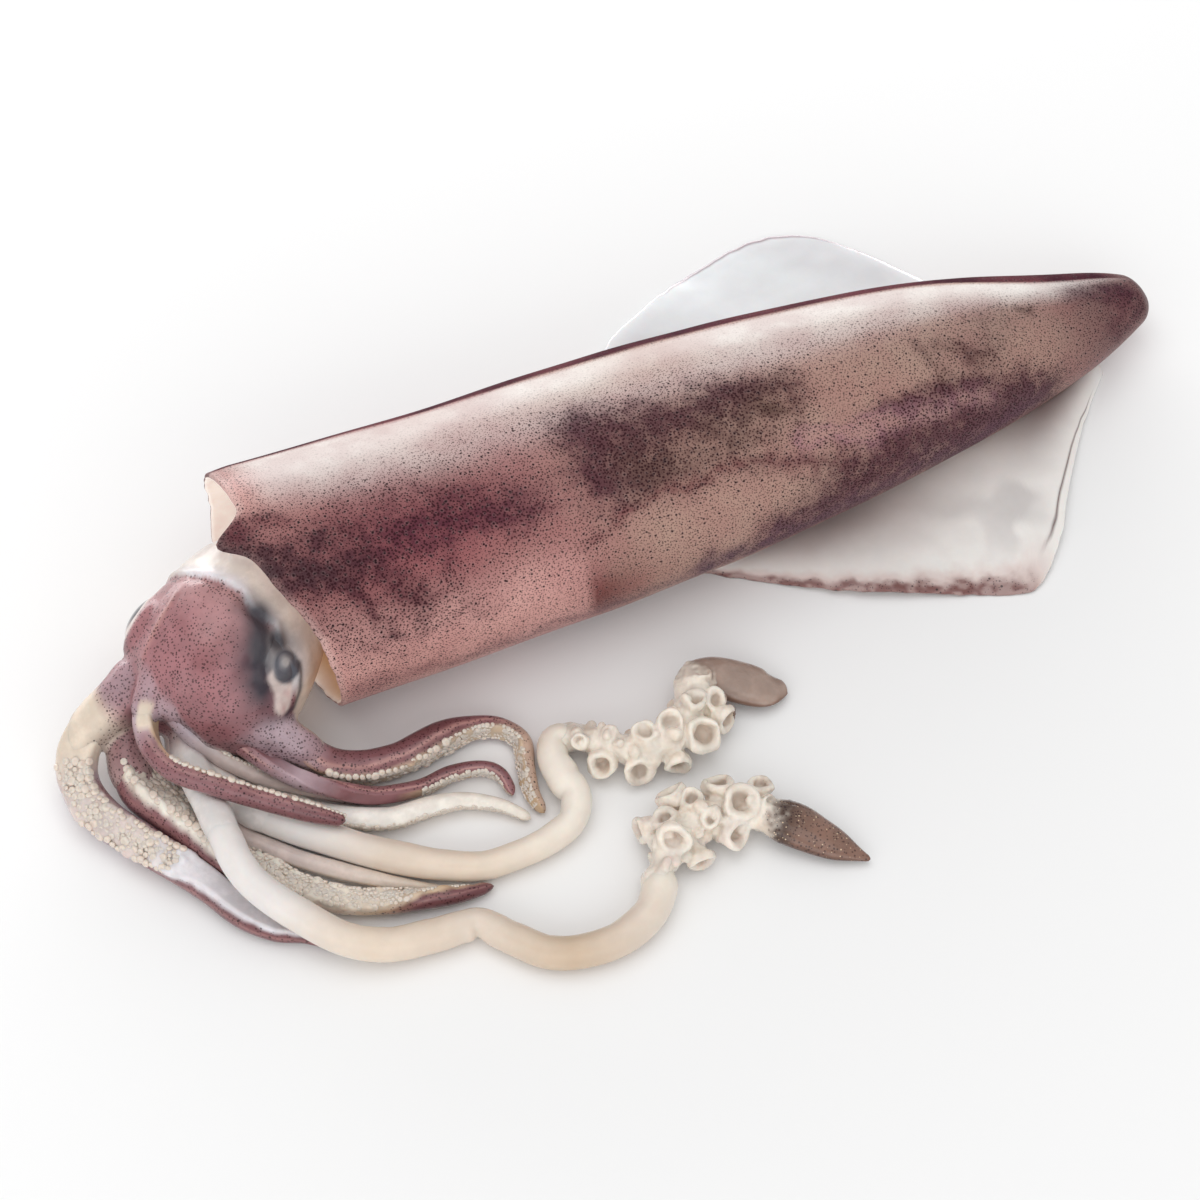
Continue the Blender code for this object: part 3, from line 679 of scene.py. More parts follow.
def skin_under_stains(points, x, degrees):
    """The skin's colour with the pale strip along its top painted in, partly pale skin and partly a painted
    reflection of the light behind, how far each point is in that strip, and in the dark band beyond that.
    """
    low = turned(degrees, 120)
    colour = mix(all_over(DUSTY_SKIN, x), TAN_SKIN, step(58, 86, x + 4 * lumps(points, 20.0, 8)))
    colour = mix(colour, ROSE_SKIN, 0.9 * bell(x, 30, 32) * bell(low, -2, 26))
    colour = mix(colour, PEACH_SKIN, 0.9 * step(14, 40, low) * step(78, 56, x))
    colour = mix(colour, PEACH_SKIN, 0.8 * bell(x, -8, 12) * bell(turned(degrees, 72), 0, 16))
    # greyish band beside the pale strip towards the top: partly the skin's own tone, partly the strip's
    # painted reflection fading out
    colour = mix(colour, GREY_SKIN_AND_SHEEN, 0.8 * bell(turned(degrees, 84), 0, 11) * step(4, 26, x))
    colour = mix(colour, OLIVE_SKIN, 0.7 * bell(x, 182, 26) * bell(turned(degrees, 104), 0, 20))
    colour = mix(colour, TIP_SKIN, step(194, 220, x))
    # the pale strip along the top: partly pale skin, partly a painted reflection of the light behind
    upper_edge = 44 + 0.05 * x + 18 * step(170, 225, x)
    lower_edge = 76 - 10 * bell(x, 66, 30) - 7 * bell(x, 104, 15) - 3 * bell(x, 150, 24)
    lower_edge = lower_edge + 10 * step(185, 215, x)
    pale = step(-1, 4, turned(degrees, upper_edge)) * step(20, -10, turned(degrees, lower_edge))
    pale = pale * step(-4, 8, x) * step(234, 205, x)
    colour = mix(colour, PALE_SKIN_AND_SHEEN, (0.93 - 0.25 * bell(x, 46, 18) - 0.3 * bell(x, 102, 14)) * pale)
    to_line = turned(degrees, upper_edge - 2 + 1.5 * lumps(points, 14.0, 6))
    far_band = step(-95, -26, to_line + 8 * lumps(points, 16.0, 9)) * step(2.0, -0.5, to_line)
    far_band = far_band * step(240, 226, x) * step(-10, -4, x)
    colour = mix(colour, EDGE_WINE, far_band)
    colour = mix(colour, ROSE_SKIN, 0.6 * bell(turned(degrees, 270), 0, 60))
    # a brown patch with a sharp left edge, low on the near side
    patch = step(65, 67, x + 1.5 * lumps(points, 4.0, 5)) * bell(x, 66, 12)
    patch = patch * bell(turned(degrees, 176), 0, 20)
    return mix(colour, BROWN_PATCH, 0.95 * patch), pale, far_band


def stains(points, x, degrees):
    """Colour of the pigment at each point, and how clear of it the skin is."""
    girth = np.maximum(half_widths(x), 1.0)
    drift_x = x + 3.0 * lumps(points, 9.0, 1) + 1.6 * lumps(points, 3.2, 2)
    drift_turn = turned(degrees, 120) + 120 + 6.0 * lumps(points, 9.0, 3) + 3.5 * lumps(points, 3.2, 4)
    drift_around = np.radians(drift_turn) * girth
    pigment = all_over(VIOLET, x)
    clear = np.ones(len(x))
    for tint, depth, half_width, path in MANTLE_STREAKS:
        reach = path_distance(drift_x, drift_around, path, np.radians(1) * girth)
        mask = depth * bell(reach, 0, half_width * STREAK_SPREAD)
        pigment = mix(pigment, tint, mask ** 0.7 if tint is PINK_LINE else mask)
        clear = clear * (1 - (0.9 * mask))
        if tint is PINK_LINE:
            clear = np.maximum(clear, 0.88 * mask)
    return pigment, clear


def mantle_colours(points):
    """Skin colour, colour and depth of its stains, how freckled it is and how it shines, at each point."""
    x, degrees = points[:, 0], angle_round_mantle(points)
    colour, pale, far_band = skin_under_stains(points, x, degrees)
    pigment, clear = stains(points, x, degrees)
    # stains and freckles fade in the pale strip, where its painted reflection would wash them out, and the
    # coat is thinner there
    shine = MANTLE_SHINE * (1 - far_band) * (1 - 0.6 * (1 - clear)) * (1 - 0.4 * pale)
    return colour, pigment, (1 - clear) * (1 - 0.8 * pale), 1 - 0.85 * pale, shine


def mantle_rings():
    """Rings from the bottom of the mouth, over the lip and along the skin to the tip; 1 marks the inside."""
    rings, inside = [], []
    for i in range(MOUTH_RINGS):
        depth = MOUTH_DEPTH * (1 - i / MOUTH_RINGS) ** MOUTH_CROWDING
        wall = RIM_WALL + (MOUTH_WALL - RIM_WALL) * float(step(0, 12, depth))
        rings.append(mantle_ring(depth + RIM_WALL / 2, wall, 1 - depth / MOUTH_DEPTH))
        inside.append(1.0)
    for i in range(LIP_RINGS + 1):
        turn = math.pi * i / LIP_RINGS
        place = RIM_WALL / 2 * (1 - math.sin(turn))
        rings.append(mantle_ring(place, RIM_WALL / 2 * (1 + math.cos(turn)), 1.0))
        inside.append(1.0 if i < LIP_RINGS / 2 else 0.15)
    for i in range(1, MANTLE_RINGS):
        u = 1 - (1 - i / MANTLE_RINGS) ** MANTLE_CROWDING
        place = RIM_WALL / 2 + u * (MANTLE_LENGTH - RIM_WALL / 2)
        rings.append(mantle_ring(place, 0.0, max(0.0, 1 - u * 6)))
        inside.append(0.0)
    rings[-1] = mantle_ring(MANTLE_LENGTH * LAST_RING, 0.0, 0.0)
    return rings, inside


def build_mantle():
    rings, inside = mantle_rings()
    mantle, points = grid_object("mantle_skin", rings)
    colour, pigment, stain, freckled, shine = mantle_colours(points)
    inside = np.concatenate([np.repeat(inside, MANTLE_SIDES), [1.0, 0.0]])
    degrees = angle_round_mantle(points)
    near_wall = step(85, 60, np.abs(turned(degrees, 215)))
    ochre = (0.3 * bell(lumps(points, 9.0, 2), 0.3, 0.35) + 0.65) * near_wall
    wall = mix(all_over(INNER_WHITE, points), TAN_FLESH, ochre * step(1, 8, points[:, 0]))
    wall = mix(wall, OCHRE, 0.9 * step(1, 10, points[:, 0]) * near_wall)
    around = np.radians(turned(degrees, 90)) * half_widths(points[:, 0])
    paint(mantle, "skin colour", mix(colour, wall, inside))
    # the inside also marks where the material paints its glow
    paint(mantle, "inside", np.clip(inside, 0, 1) * step(0.5, 0.9, inside))
    paint(mantle, "pigment", pigment)
    paint(mantle, "shine", shine)
    paint(mantle, "stain", stain * (1 - inside))
    paint(mantle, "freckled", freckled * (1 - inside))
    paint(mantle, "over the skin", np.stack([points[:, 0], around, 0 * around], axis=1) * MM + 0.5)
    finish_piece(mantle, mantle_material(), "skin", "mantle")


# ---------------------------------------------------------------- fins

FIN_ROOT_HEIGHT = 1.2           # where the fin meets the mantle, above the table
FIN_CLEARANCE = 0.6             # gap between the fin and the mantle
FIN_ROOT_THICKNESS = 3.2
FIN_EDGE_THICKNESS = 0.7
FIN_WAVE = 1.1                  # half of how high the waves lift the margin off the table
FIN_WAVE_LENGTH = 9.0           # length along the squid for one radian of those waves
FIN_STATIONS = 150
FIN_ACROSS = 44
# x, distance from the mantle's middle line
FAR_FIN_EDGE = [(86, 14), (98, 34), (111, 53.5), (124, 60.5), (139, 66.5), (158, 69.8),
                (174, 65), (184, 55), (192, 44), (201, 32), (212, 19), (221, 11)]
NEAR_FIN_EDGE = [(86, 8), (95, 16), (104, 22), (118, 32.5), (130, 41.5), (141, 47.5), (158, 55.5),
                 (168, 60), (174, 60), (185, 51), (192, 42), (204, 28), (214, 18), (222, 11)]


def fin_colours(points, share, side):
    """Porcelain white with painted grey reflections of the wet surface and, on the near fin, a painted shadow
    of the mantle by its root and a torn brown-red front margin.
    """
    x = points[:, 0]
    flat = points * (1, 1, 0)
    colour = all_over(FIN_WHITE if side > 0 else PORCELAIN, points)
    colour = mix(colour, FIN_GREY, 0.3 * step(-0.1, 0.5, lumps(flat, 30.0, 3 + side)))
    # painted reflections: sharp grey patches on the wet fin, towards the back of the near fin and the front
    # of the far fin
    fold = step(0.0, 0.3, lumps(flat + 2 * lumps(flat, 7.0, 2)[:, None], 10.0, 5)) * bell(share, 0.6, 0.24)
    colour = mix(colour, FIN_REFLECTION_GREY, 0.5 * fold * bell(x, 182 if side < 0 else 112, 17))
    if side > 0:
        root = step(0.35, 0.12, share) * bell(x, 175, 22)
        colour = mix(colour, LILAC, 0.5 * root)
        margin = step(0.972, 0.985, share) * step(128, 140, x)
        return mix(colour, FIN_RIM, 0.75 * margin), 0.6 * root
    # painted shadow of the mantle across the near fin's root
    grey = 0.85 * step(190, 130, x) + 0.95 * bell(x, 203, 17)
    colour = mix(colour, FIN_MANTLE_SHADOW, bell(share, 0.15, 0.42) * grey)
    crease = bell(share, 0.9 + 0.02 * lumps(points, 9.0, 4), 0.014) * step(176, 186, x)
    colour = mix(colour, FIN_CREASE, 0.95 * crease * step(218, 210, x))
    torn = share + 0.05 * lumps(points, 4.0, 8) + 0.025 * lumps(points, 1.3, 9)
    colour = mix(colour, TORN_PINK, 0.6 * step(0.76, 0.93, torn) * step(184, 170, x))
    front = step(0.87, 0.96, torn) * step(176, 168, x)
    front = front * (0.65 + 0.35 * step(-0.2, 0.2, lumps(points, 2.2, 3)))
    return mix(colour, TORN_BROWN, 0.9 * front), 0.5 * front


def fin_thickness(share):
    """Thickness of a fin by the share of the way from its root to its rounded edge."""
    thick = FIN_EDGE_THICKNESS + (FIN_ROOT_THICKNESS - FIN_EDGE_THICKNESS) * (1 - share ** 2)
    return thick * (math.sqrt(max(1 - share ** 24, 0.0)) * 0.9 + 0.1)


def build_fin(name, side, edge):
    """A fin on the far side (side 1) or the near side (side -1), its root tucked under the mantle."""
    outline = through(edge, 12)
    stations = np.linspace(edge[0][0], edge[-1][0], FIN_STATIONS)
    reaches = np.interp(stations, outline[:, 0], outline[:, 1])
    shares = [math.sin(math.pi / 2 * k / FIN_ACROSS) for k in range(FIN_ACROSS + 1)]
    rings = []
    for x, reach in zip(stations, reaches):
        middle, centre, half_width, half_height = mantle_section(x)
        clear_width, clear_height = half_width + FIN_CLEARANCE, half_height + FIN_CLEARANCE
        level = min((centre - FIN_ROOT_HEIGHT) / clear_height, 1.0)
        root = clear_width * math.sqrt(1 - level ** 2)
        reach = max(reach - 0.5 + 0.45 * noise.noise(Vector((x / 3.0, side, 0.0))), root + 1.5)
        below, above = [], []
        for share in shares:
            out = root + (reach - root) * share
            roof = math.inf
            if out < clear_width:
                roof = centre - clear_height * math.sqrt(1 - (out / clear_width) ** 2)
            wave = FIN_WAVE * share ** 2 * (1 + math.sin(x / FIN_WAVE_LENGTH + side))
            ripple = 0.5 * share * (1 + noise.noise(Vector((x / 14.0, out / 20.0, side * 3.0))))
            floor = wave + 0.3 * ripple
            top = min(floor + fin_thickness(share) + 0.6 * ripple, max(roof, floor + 0.2))
            below.append((x, middle + side * out, floor))
            above.append((x, middle + side * out, top))
        rings.append(below + above[::-1])
    fin, points = grid_object(name + "_sheet", rings)
    share = np.concatenate([np.tile(shares + shares[::-1], FIN_STATIONS), [0.5, 0.5]])
    colour, freckled = fin_colours(points, share, side)
    paint(fin, "skin colour", colour)
    paint(fin, "freckled", freckled)
    finish_piece(fin, FIN_FLESH, "fin_flesh", name)


# ---------------------------------------------------------------- arms and tentacles

# x, y, z, radius along the middle of each arm, from inside the head to its tip
ARM_ROUTES = {
    "arm_1": [(-36, 0, 21, 4.6), (-42.5, -2.8, 18, 4.9), (-49.3, -3.2, 14, 5),
              (-55.8, -7, 10.2, 5), (-58.4, -14.5, 7, 5), (-56, -23.6, 5.4, 4.7),
              (-51, -32.5, 5, 4.5), (-45.5, -42, 4.6, 4.2), (-41, -50.6, 4, 3.8),
              (-37.5, -59, 3.6, 3.4), (-32.5, -66, 3, 2.8), (-26, -70.5, 2.4, 2.2),
              (-20, -76.5, 1.6, 1.4)],
    "arm_2": [(-33, 0, 12, 4.2), (-40, -5, 9.5, 4.4), (-45, -11, 8, 4.6),
              (-46, -20, 6.5, 5.1), (-41.7, -29.5, 6, 5.1), (-37.7, -38.5, 5.3, 4.6),
              (-33.7, -47, 5, 3.8), (-28, -52.5, 4.6, 3.4), (-23, -59.5, 4.4, 3.2),
              (-16, -66.5, 4.2, 3.2), (-8, -71, 4, 3), (0.5, -74, 3.6, 2.7),
              (9.5, -76.5, 2.8, 2.1), (17.5, -77.5, 1.8, 1.2)],
    "arm_3": [(-30, -6, 8, 2.8), (-34, -14, 5.5, 2.8), (-35, -22, 3.6, 2.8),
              (-32.5, -31, 3, 2.6), (-29.3, -40, 2.8, 2.6), (-24, -47, 2.7, 2.5),
              (-19, -53, 2.8, 2.5), (-12.5, -59.5, 3, 2.5), (-5.5, -65.2, 2.6, 2.1),
              (1.5, -69.5, 1.8, 1.3), (7, -72.5, 1.2, 0.8)],
    "arm_4": [(-22, -15, 11, 2.9), (-24, -24, 7, 2.9), (-19.5, -32, 3.6, 2.9),
              (-13, -40.5, 3.1, 2.9), (-5, -47, 3.2, 2.9), (3.5, -51.5, 3.2, 2.9),
              (13, -52.5, 3, 2.7), (21, -54.5, 2.7, 2.3), (28, -59, 2.2, 1.8),
              (33, -65, 1.6, 1.3)],
    "arm_5": [(-34, -5, 26, 3.2), (-38, -10, 24, 3.2), (-40.5, -14.5, 21.5, 3.1),
              (-41, -20, 19.8, 2.9), (-39, -27, 19.6, 2.7), (-33, -34, 19.8, 2.6),
              (-24, -40, 15.6, 2.6), (-14.5, -47, 12.8, 2.4), (-7.5, -51.5, 10.5, 1.4)],
    "arm_6": [(-30, -9, 27, 2.8), (-33, -13, 23.5, 2.8), (-32.5, -17, 20, 2.5),
              (-29.5, -21.5, 15.8, 2.3), (-25.5, -27.3, 13.2, 2), (-18.5, -32.5, 8.8, 2),
              (-11.5, -37, 7, 1.9), (-3.5, -41.5, 3.4, 1.7), (4.5, -45.5, 1.6, 1)],
    "arm_7": [(-25, -15, 26, 3.2), (-26, -18, 21.5, 3.2), (-22.5, -23.5, 17, 2.9),
              (-18, -31, 14.2, 2.4), (-12.5, -37.5, 11.6, 2.4), (-5, -42, 8.3, 2.2),
              (3, -45.5, 5.4, 2.2), (13, -47, 3.7, 2.1), (21, -46.5, 3.2, 2.1),
              (28, -48, 3, 1.9), (31.5, -51.5, 2.7, 1.8), (32, -57.5, 2, 1.3)],
    "arm_8": [(-20, -19, 24, 4.6), (-16.5, -24, 19.5, 4.7), (-10.2, -29, 13.7, 4.2),
              (-5, -34, 8.6, 4.3), (2, -37.2, 6.2, 4.2), (11.5, -38.8, 5.6, 4.2),
              (22.5, -37.5, 5, 4.1), (30.5, -37.4, 4, 3), (37, -40, 3.2, 2.5),
              (40, -45.5, 2.8, 2.4), (38, -52, 2.6, 2.2), (36.2, -59, 2.3, 1.9),
              (36.5, -65, 1.8, 1.3)],
}
TENTACLE_ROUTES = {
    "tentacle_near": [(-29, -9, 15, 3.2), (-33.5, -20, 13, 3.2), (-34, -29, 13.2, 3.4),
                      (-34, -37, 13.2, 3.6), (-34.5, -46, 14.5, 3.8), (-34.5, -54, 14.8, 3.9),
                      (-32.5, -60.5, 13, 3.9), (-27.5, -68, 10, 4), (-20, -77.5, 7.5, 4),
                      (-11.5, -82.5, 5.6, 4.1), (-1.5, -84.5, 4.6, 4), (6.5, -85.5, 4.3, 3.8),
                      (10.5, -87, 4.3, 3.8), (15, -93, 4.3, 3.9), (20.5, -99.5, 4.3, 4),
                      (27.5, -103, 4.4, 4), (36.5, -104, 4.5, 4.1), (45, -101.5, 4.7, 4.2),
                      (50.5, -96.5, 4.8, 4.2), (53, -92, 4.8, 4.2)],
    "tentacle_far": [(-24, -9, 9, 3.4), (-28.5, -21, 9, 3.5), (-28.4, -30, 8.2, 3.5),
                     (-25, -37, 7.2, 3.8), (-19, -44, 6.2, 4), (-13, -50, 5.4, 4),
                     (-6.5, -56.5, 4.8, 3.9), (1, -63, 4.7, 3.9), (8.5, -68.5, 4.5, 3.7),
                     (17, -72.5, 3.8, 3.5), (26, -73.6, 3.8, 3.4), (34, -73.2, 4, 3.5),
                     (40.5, -71, 4.4, 3.7), (44, -66, 4.6, 4), (44, -60, 4.6, 4.1),
                     (44.4, -54, 4.6, 4), (47, -50, 4.6, 3.9), (51.8, -51.5, 4.6, 4)],
}
LIMB_ROUTES = {**ARM_ROUTES, **TENTACLE_ROUTES}
ROOT_CURVES = {name: evenly(through(route, 10), 0.3) for name, route in LIMB_ROUTES.items()}
PATCH_REACH = (0.08, 0.215)     # stretch of the fifth arm that carries a pale patch
PATCH_SIDE = np.array((-0.2, -0.45, 0.75))      # where the patch sits, in radii from the arm's middle
ARM_SIDES = 44
LANES = (-48, -29, -10, 10, 29, 48)     # rows of suckers, in degrees round the arm
ARM_SPACING = 0.5
BED_GRAIN = 0.26                # how lumpy the flesh under the suckers is, in arm radii
LEFT_END = -62.8                # nothing reaches past this along the squid
FLOOR_GAP = 0.05                # how far every arm and stalk stays above the table
MOUTH_SIDE_FLAT = 0.74          # how far the flat sucker side stands from the middle, in radii

# For each arm, keyed by the share of its length: how its sucker side is turned from straight up, in
# degrees to the left on the way to the tip; the colours of its back and of its sucker side; the stretch
# that carries suckers; their radius in arm radii; and how far round, in degrees, the pale side reaches.
ARM_LOOKS = {
    "arm_1": dict(roll=[(0, 20), (0.2, 5), (0.32, -28), (0.52, -30), (0.66, 15), (0.75, 24), (1, 20)],
                  back=[(0, FACE_ROSE), (0.07, FACE_ROSE), (0.11, CREAM), (0.23, CREAM), (0.29, LILAC),
                        (0.34, MAUVE), (0.44, LILAC), (0.52, MAUVE), (0.7, PLUM), (1, PLUM)],
                  mouth=[(0, FACE_ROSE), (0.1, CREAM), (0.22, CREAM), (0.32, PALE_GREY_PINK),
                         (0.5, PALE_GREY_PINK), (0.6, BLUE_WHITE), (1, BLUE_WHITE)],
                  suckers=(0.25, 0.6), bead=0.19, open=66),
    "arm_2": dict(roll=[(0, 50), (0.15, 40), (0.4, 36), (0.55, 8), (0.74, -6), (0.8, 10), (0.87, 70),
                        (1, 95)],
                  back=[(0, FACE_ROSE), (0.1, MAUVE), (0.3, MAUVE), (0.45, PLUM), (0.6, PALE_GREY_PINK),
                        (0.76, TAN_FLESH), (0.84, PLUM), (1, PLUM)],
                  mouth=[(0, LILAC), (0.1, CREAM), (0.3, IVORY), (0.5, IVORY), (0.75, CREAM),
                         (0.9, TAN_FLESH), (1, MAUVE)],
                  suckers=(0.17, 0.95), bead=0.2, open=74),
    "arm_3": dict(roll=[(0, -110), (1, -110)],
                  back=[(0, FACE_PALE), (0.15, PALE_GREY_PINK), (0.6, PALE_GREY_PINK), (1, CREAM)],
                  mouth=[(0, CREAM), (1, CREAM)], suckers=(0.3, 0.5), bead=0.27, open=50),
    "arm_4": dict(roll=[(0, -112), (1, -118)], back=[(0, FACE_PALE), (0.15, PORCELAIN), (1, IVORY)],
                  mouth=[(0, CREAM), (1, CREAM)], suckers=(0.4, 0.97), bead=0.2, open=50),
    "arm_5": dict(roll=[(0, 60), (0.3, 80), (1, 80)],
                  back=[(0, FACE_ROSE), (0.08, FACE_ROSE), (0.16, LILAC), (0.27, MAUVE), (0.6, MAUVE),
                        (1, PLUM)],
                  mouth=[(0, FACE_ROSE), (0.15, TAN_FLESH), (0.4, TAN_FLESH), (1, CREAM)],
                  suckers=(0.35, 1.0), bead=0.3, open=56),
    "arm_6": dict(roll=[(0, 70), (1, 80)],
                  # the grey on its root is a painted highlight on the bulge there
                  back=[(0, FACE_ROSE), (0.2, BULGE_HIGHLIGHT_GREY), (0.4, PALE_GREY_PINK), (0.65, PALE_GREY_PINK),
                        (1, MAUVE)],
                  mouth=[(0, FACE_ROSE), (0.25, CREST_PINK), (0.5, CREAM), (1, CREAM)],
                  suckers=(0.35, 1.0), bead=0.28, open=62),
    "arm_7": dict(roll=[(0, 70), (0.35, 20), (0.5, -70), (0.75, -98), (1, -100)],
                  back=[(0, FACE_ROSE), (0.1, MAUVE), (0.2, MAUVE), (0.36, LILAC), (0.46, MAUVE),
                        (0.8, PLUM), (1, MAUVE)],
                  mouth=[(0, FACE_ROSE), (0.1, MAUVE), (0.25, MAUVE), (0.36, LILAC), (0.46, MAUVE),
                         (0.62, MAUVE), (0.72, TAN_FLESH), (1, TAN_FLESH)],
                  suckers=(0.7, 0.97), bead=0.2, open=46, crest=0.8),
    "arm_8": dict(roll=[(0, -110), (0.35, -112), (0.5, -103), (0.62, -90), (0.75, -64), (1, -50)],
                  # the lilac near the root of its back is a painted highlight on the root's bulge
                  back=[(0, FACE_ROSE), (0.07, LILAC), (0.16, LILAC), (0.27, MAUVE), (0.6, PLUM),
                        (0.7, MAUVE), (0.8, TAN_PINK), (1, TAN_PINK)],
                  mouth=[(0, FACE_ROSE), (0.14, MAUVE), (0.3, TAN_FLESH), (0.5, STALK_WARM),
                         (0.75, STALK_WARM), (0.9, TAN_FLESH), (1, TAN_FLESH)],
                  suckers=(0.28, 0.98), bead=0.19, open=52, crest=0.9),
}


def keyed(keys, share):
    """Value at a share of the length, from a list of (share, number or colour)."""
    places = [key[0] for key in keys]
    values = np.array([key[1] for key in keys], dtype=float)
    if values.ndim == 1:
        return np.interp(share, places, values)
    return np.stack([np.interp(share, places, values[:, i]) for i in range(values.shape[1])], axis=-1)


def frames_along(points):
    """Direction, left-hand side and upper side at each point of a curve in mm."""
    ahead = np.gradient(points[:, :3], axis=0)
    ahead /= np.linalg.norm(ahead, axis=1, keepdims=True)
    left = np.cross(np.array(UP), ahead)
    left /= np.linalg.norm(left, axis=1, keepdims=True)
    return ahead, left, np.cross(ahead, left)


def arm_profile(away):
    """Radius of an arm's section, by the angle in degrees from the middle of its sucker side."""
    away = np.abs(away)
    flat = MOUTH_SIDE_FLAT / np.maximum(np.cos(np.radians(away)), 0.05)
    round_side = np.minimum(flat, 1.0)
    ridge = 0.07 * bell(away, 52, 9)
    return round_side + ridge


def arm_directions(curve, looks):
    """Along an arm: share of its length, the way its suckers face, and the side across that."""
    ahead, left, upper = frames_along(curve)
    share = np.linspace(0.0, 1.0, len(curve))
    roll = np.radians(keyed(looks["roll"], share))[:, None]
    mouth = upper * np.cos(roll) + left * np.sin(roll)
    return share, mouth, np.cross(ahead, mouth)


def pale_patch(points):
    """How far each point lies in the long pale patch on top of the fifth arm's root."""
    curve = ROOT_CURVES["arm_5"]
    first, last = (int(part * len(curve)) for part in PATCH_REACH)
    spots = curve[first:last].copy()
    spots[:, :3] += spots[:, 3:] * PATCH_SIDE
    share, reach = nearest_on([spots], points)[1:]
    reach = reach + 0.12 * lumps(points, 2.5, 7)
    return step(0.72, 0.4, reach) * step(0.0, 0.28, share) * step(1.0, 0.7, share)


def arm_colours(name, points, facing, along):
    """Colour and freckles of an arm, by the angle from its sucker side and the share of its length."""
    looks = ARM_LOOKS[name]
    mouth, back = keyed(looks["mouth"], along), keyed(looks["back"], along)
    edge = step(-14, 14, facing - looks["open"] + 9 * lumps(points, 2.5, 4))
    colour = mix(mouth, back, edge)
    colour = mix(colour, back * 0.8, 0.5 * bell(facing, 180, 40) * edge)
    crest = looks.get("crest", 0.4) * bell(facing, looks["open"] + 30 + 8 * lumps(points, 4.0, 6), 8)
    colour = mix(colour, CREST_PINK, crest * step(0.45, 0.3, back.max(axis=1)))
    bare = pale_patch(points) if name == "arm_5" else np.zeros(len(facing))
    colour = mix(colour, CREAM, bare)
    return colour, 0.7 * edge * (1 - bare) * step(0.5, 0.2, back.min(axis=1))


def build_arm(name, route, beds):
    looks = ARM_LOOKS[name]
    curve = evenly(through(route, 10), ARM_SPACING)
    share, mouth, across = arm_directions(curve, looks)
    away = np.linspace(-180, 180, ARM_SIDES, endpoint=False)
    angle = np.radians(away)[:, None]
    radius = curve[:, 3] * (0.985 + 0.045 * lumps(curve[:, :3], 6.0, len(name)))
    end_round = np.sqrt(np.clip((1 - share) / 0.02, 0, 1)) * 0.85 + 0.15
    reach = (radius * end_round)[:, None] * arm_profile(away)
    rows = reach[..., None] * (mouth[:, None] * np.cos(angle) + across[:, None] * np.sin(angle))
    start, end = looks["suckers"]
    bed = (step(start - 0.03, start + 0.03, share) * step(end + 0.03, end, share))[:, None]
    bed = bed * step(looks["open"] + 8, looks["open"] - 8, np.abs(away))
    spots = (curve[:, None, :3] + rows).reshape(-1, 3)
    grain = (lumps(spots, 3.4, 6) + 0.6 * lumps(spots, 1.5, 8)).reshape(bed.shape)
    rows = curve[:, None, :3] + rows * (1 + BED_GRAIN * grain * bed)[..., None]
    rows[..., 0] = np.maximum(rows[..., 0], LEFT_END)
    rows[..., 2] = np.maximum(rows[..., 2], FLOOR_GAP)
    arm, points = grid_object(name + "_flesh", rows)
    facing = np.tile(np.abs(away), len(curve))
    colour, freckled = arm_colours(name, points[:-2], facing, np.repeat(share, ARM_SIDES))
    paint(arm, "skin colour", np.vstack([colour, colour[0], colour[-1]]))
    paint(arm, "freckled", np.concatenate([freckled, [0.0, 0.0]]))
    finish_piece(arm, ARM_FLESH, "arm_flesh", name)
    add_sucker_bed(beds, curve, radius, mouth, across, looks)


def add_sucker_bed(beds, curve, radius, mouth, across, looks):
    """Points for six uneven rows of suckers on the flat side of an arm."""
    place, end = looks["suckers"]
    bead = looks["bead"]
    length = ARM_SPACING * len(curve)
    row = 0
    while place < end:
        i = min(int(place * (len(curve) - 1)), len(curve) - 1)
        for lane in LANES:
            shaken = lane + 14 * noise.noise(Vector((place * 90, lane, 1.7)))
            turn = math.radians(shaken)
            out = mouth[i] * math.cos(turn) + across[i] * math.sin(turn)
            spot = curve[i, :3] + out * radius[i] * float(arm_profile(shaken)) * 0.97
            size = radius[i] * bead * (1.05 + 0.8 * noise.noise(Vector((place * 70, lane * 3.1, 0.4))))
            spot[0] = max(spot[0], LEFT_END + size)
            if spot[2] - size > 0.1 and (row + LANES.index(lane)) % 2 == 0:
                beds.append((spot, out, size))
        place += bead * radius[i] * 0.95 / length
        row += 1


# ---------------------------------------------------------------- suckers (Geometry Nodes)

# turned profiles of suckers, in radii: radius, height
BEAD_PROFILE = [(0.8, -0.6), (1.0, -0.05), (0.92, 0.3), (0.62, 0.5), (0.24, 0.46)]
CUP_PROFILE = [(0.58, -2.0), (0.64, -1.5), (0.84, -1.1), (1.02, -0.7), (1.1, -0.3), (1.06, 0.0),
               (0.92, 0.14), (0.72, 0.1), (0.57, -0.1), (0.5, -0.4), (0.36, -0.62), (0.14, -0.7)]
BUD_PROFILE = [(0.5, -1.2), (0.85, -0.8), (1.0, -0.2), (0.9, 0.4), (0.6, 0.8), (0.2, 0.95)]
BEAD_SIDES, CUP_SIDES, BUD_SIDES = 8, 32, 16


def turned_mesh(name, profile, sides):
    """A form turned round Z, in radii, with each point marked by how far along the profile it is."""
    rings = [[(radius * math.cos(2 * math.pi * k / sides), radius * math.sin(2 * math.pi * k / sides), height)
              for k in range(sides)] for radius, height in profile]
    last = (len(profile) - 1) * sides
    faces = [tuple(range(sides))[::-1], tuple(range(last, last + sides))]
    for i in range(len(profile) - 1):
        for k in range(sides):
            n = (k + 1) % sides
            faces.append((i * sides + k, i * sides + n, (i + 1) * sides + n, (i + 1) * sides + k))
    mesh = bpy.data.meshes.new(name)
    mesh.from_pydata([point for ring in rings for point in ring], [], faces)
    along = mesh.attributes.new("into cup", "FLOAT", "POINT")
    along.data.foreach_set("value", np.repeat(np.linspace(0, 1, len(profile)), sides))
    return new_object(name, mesh)


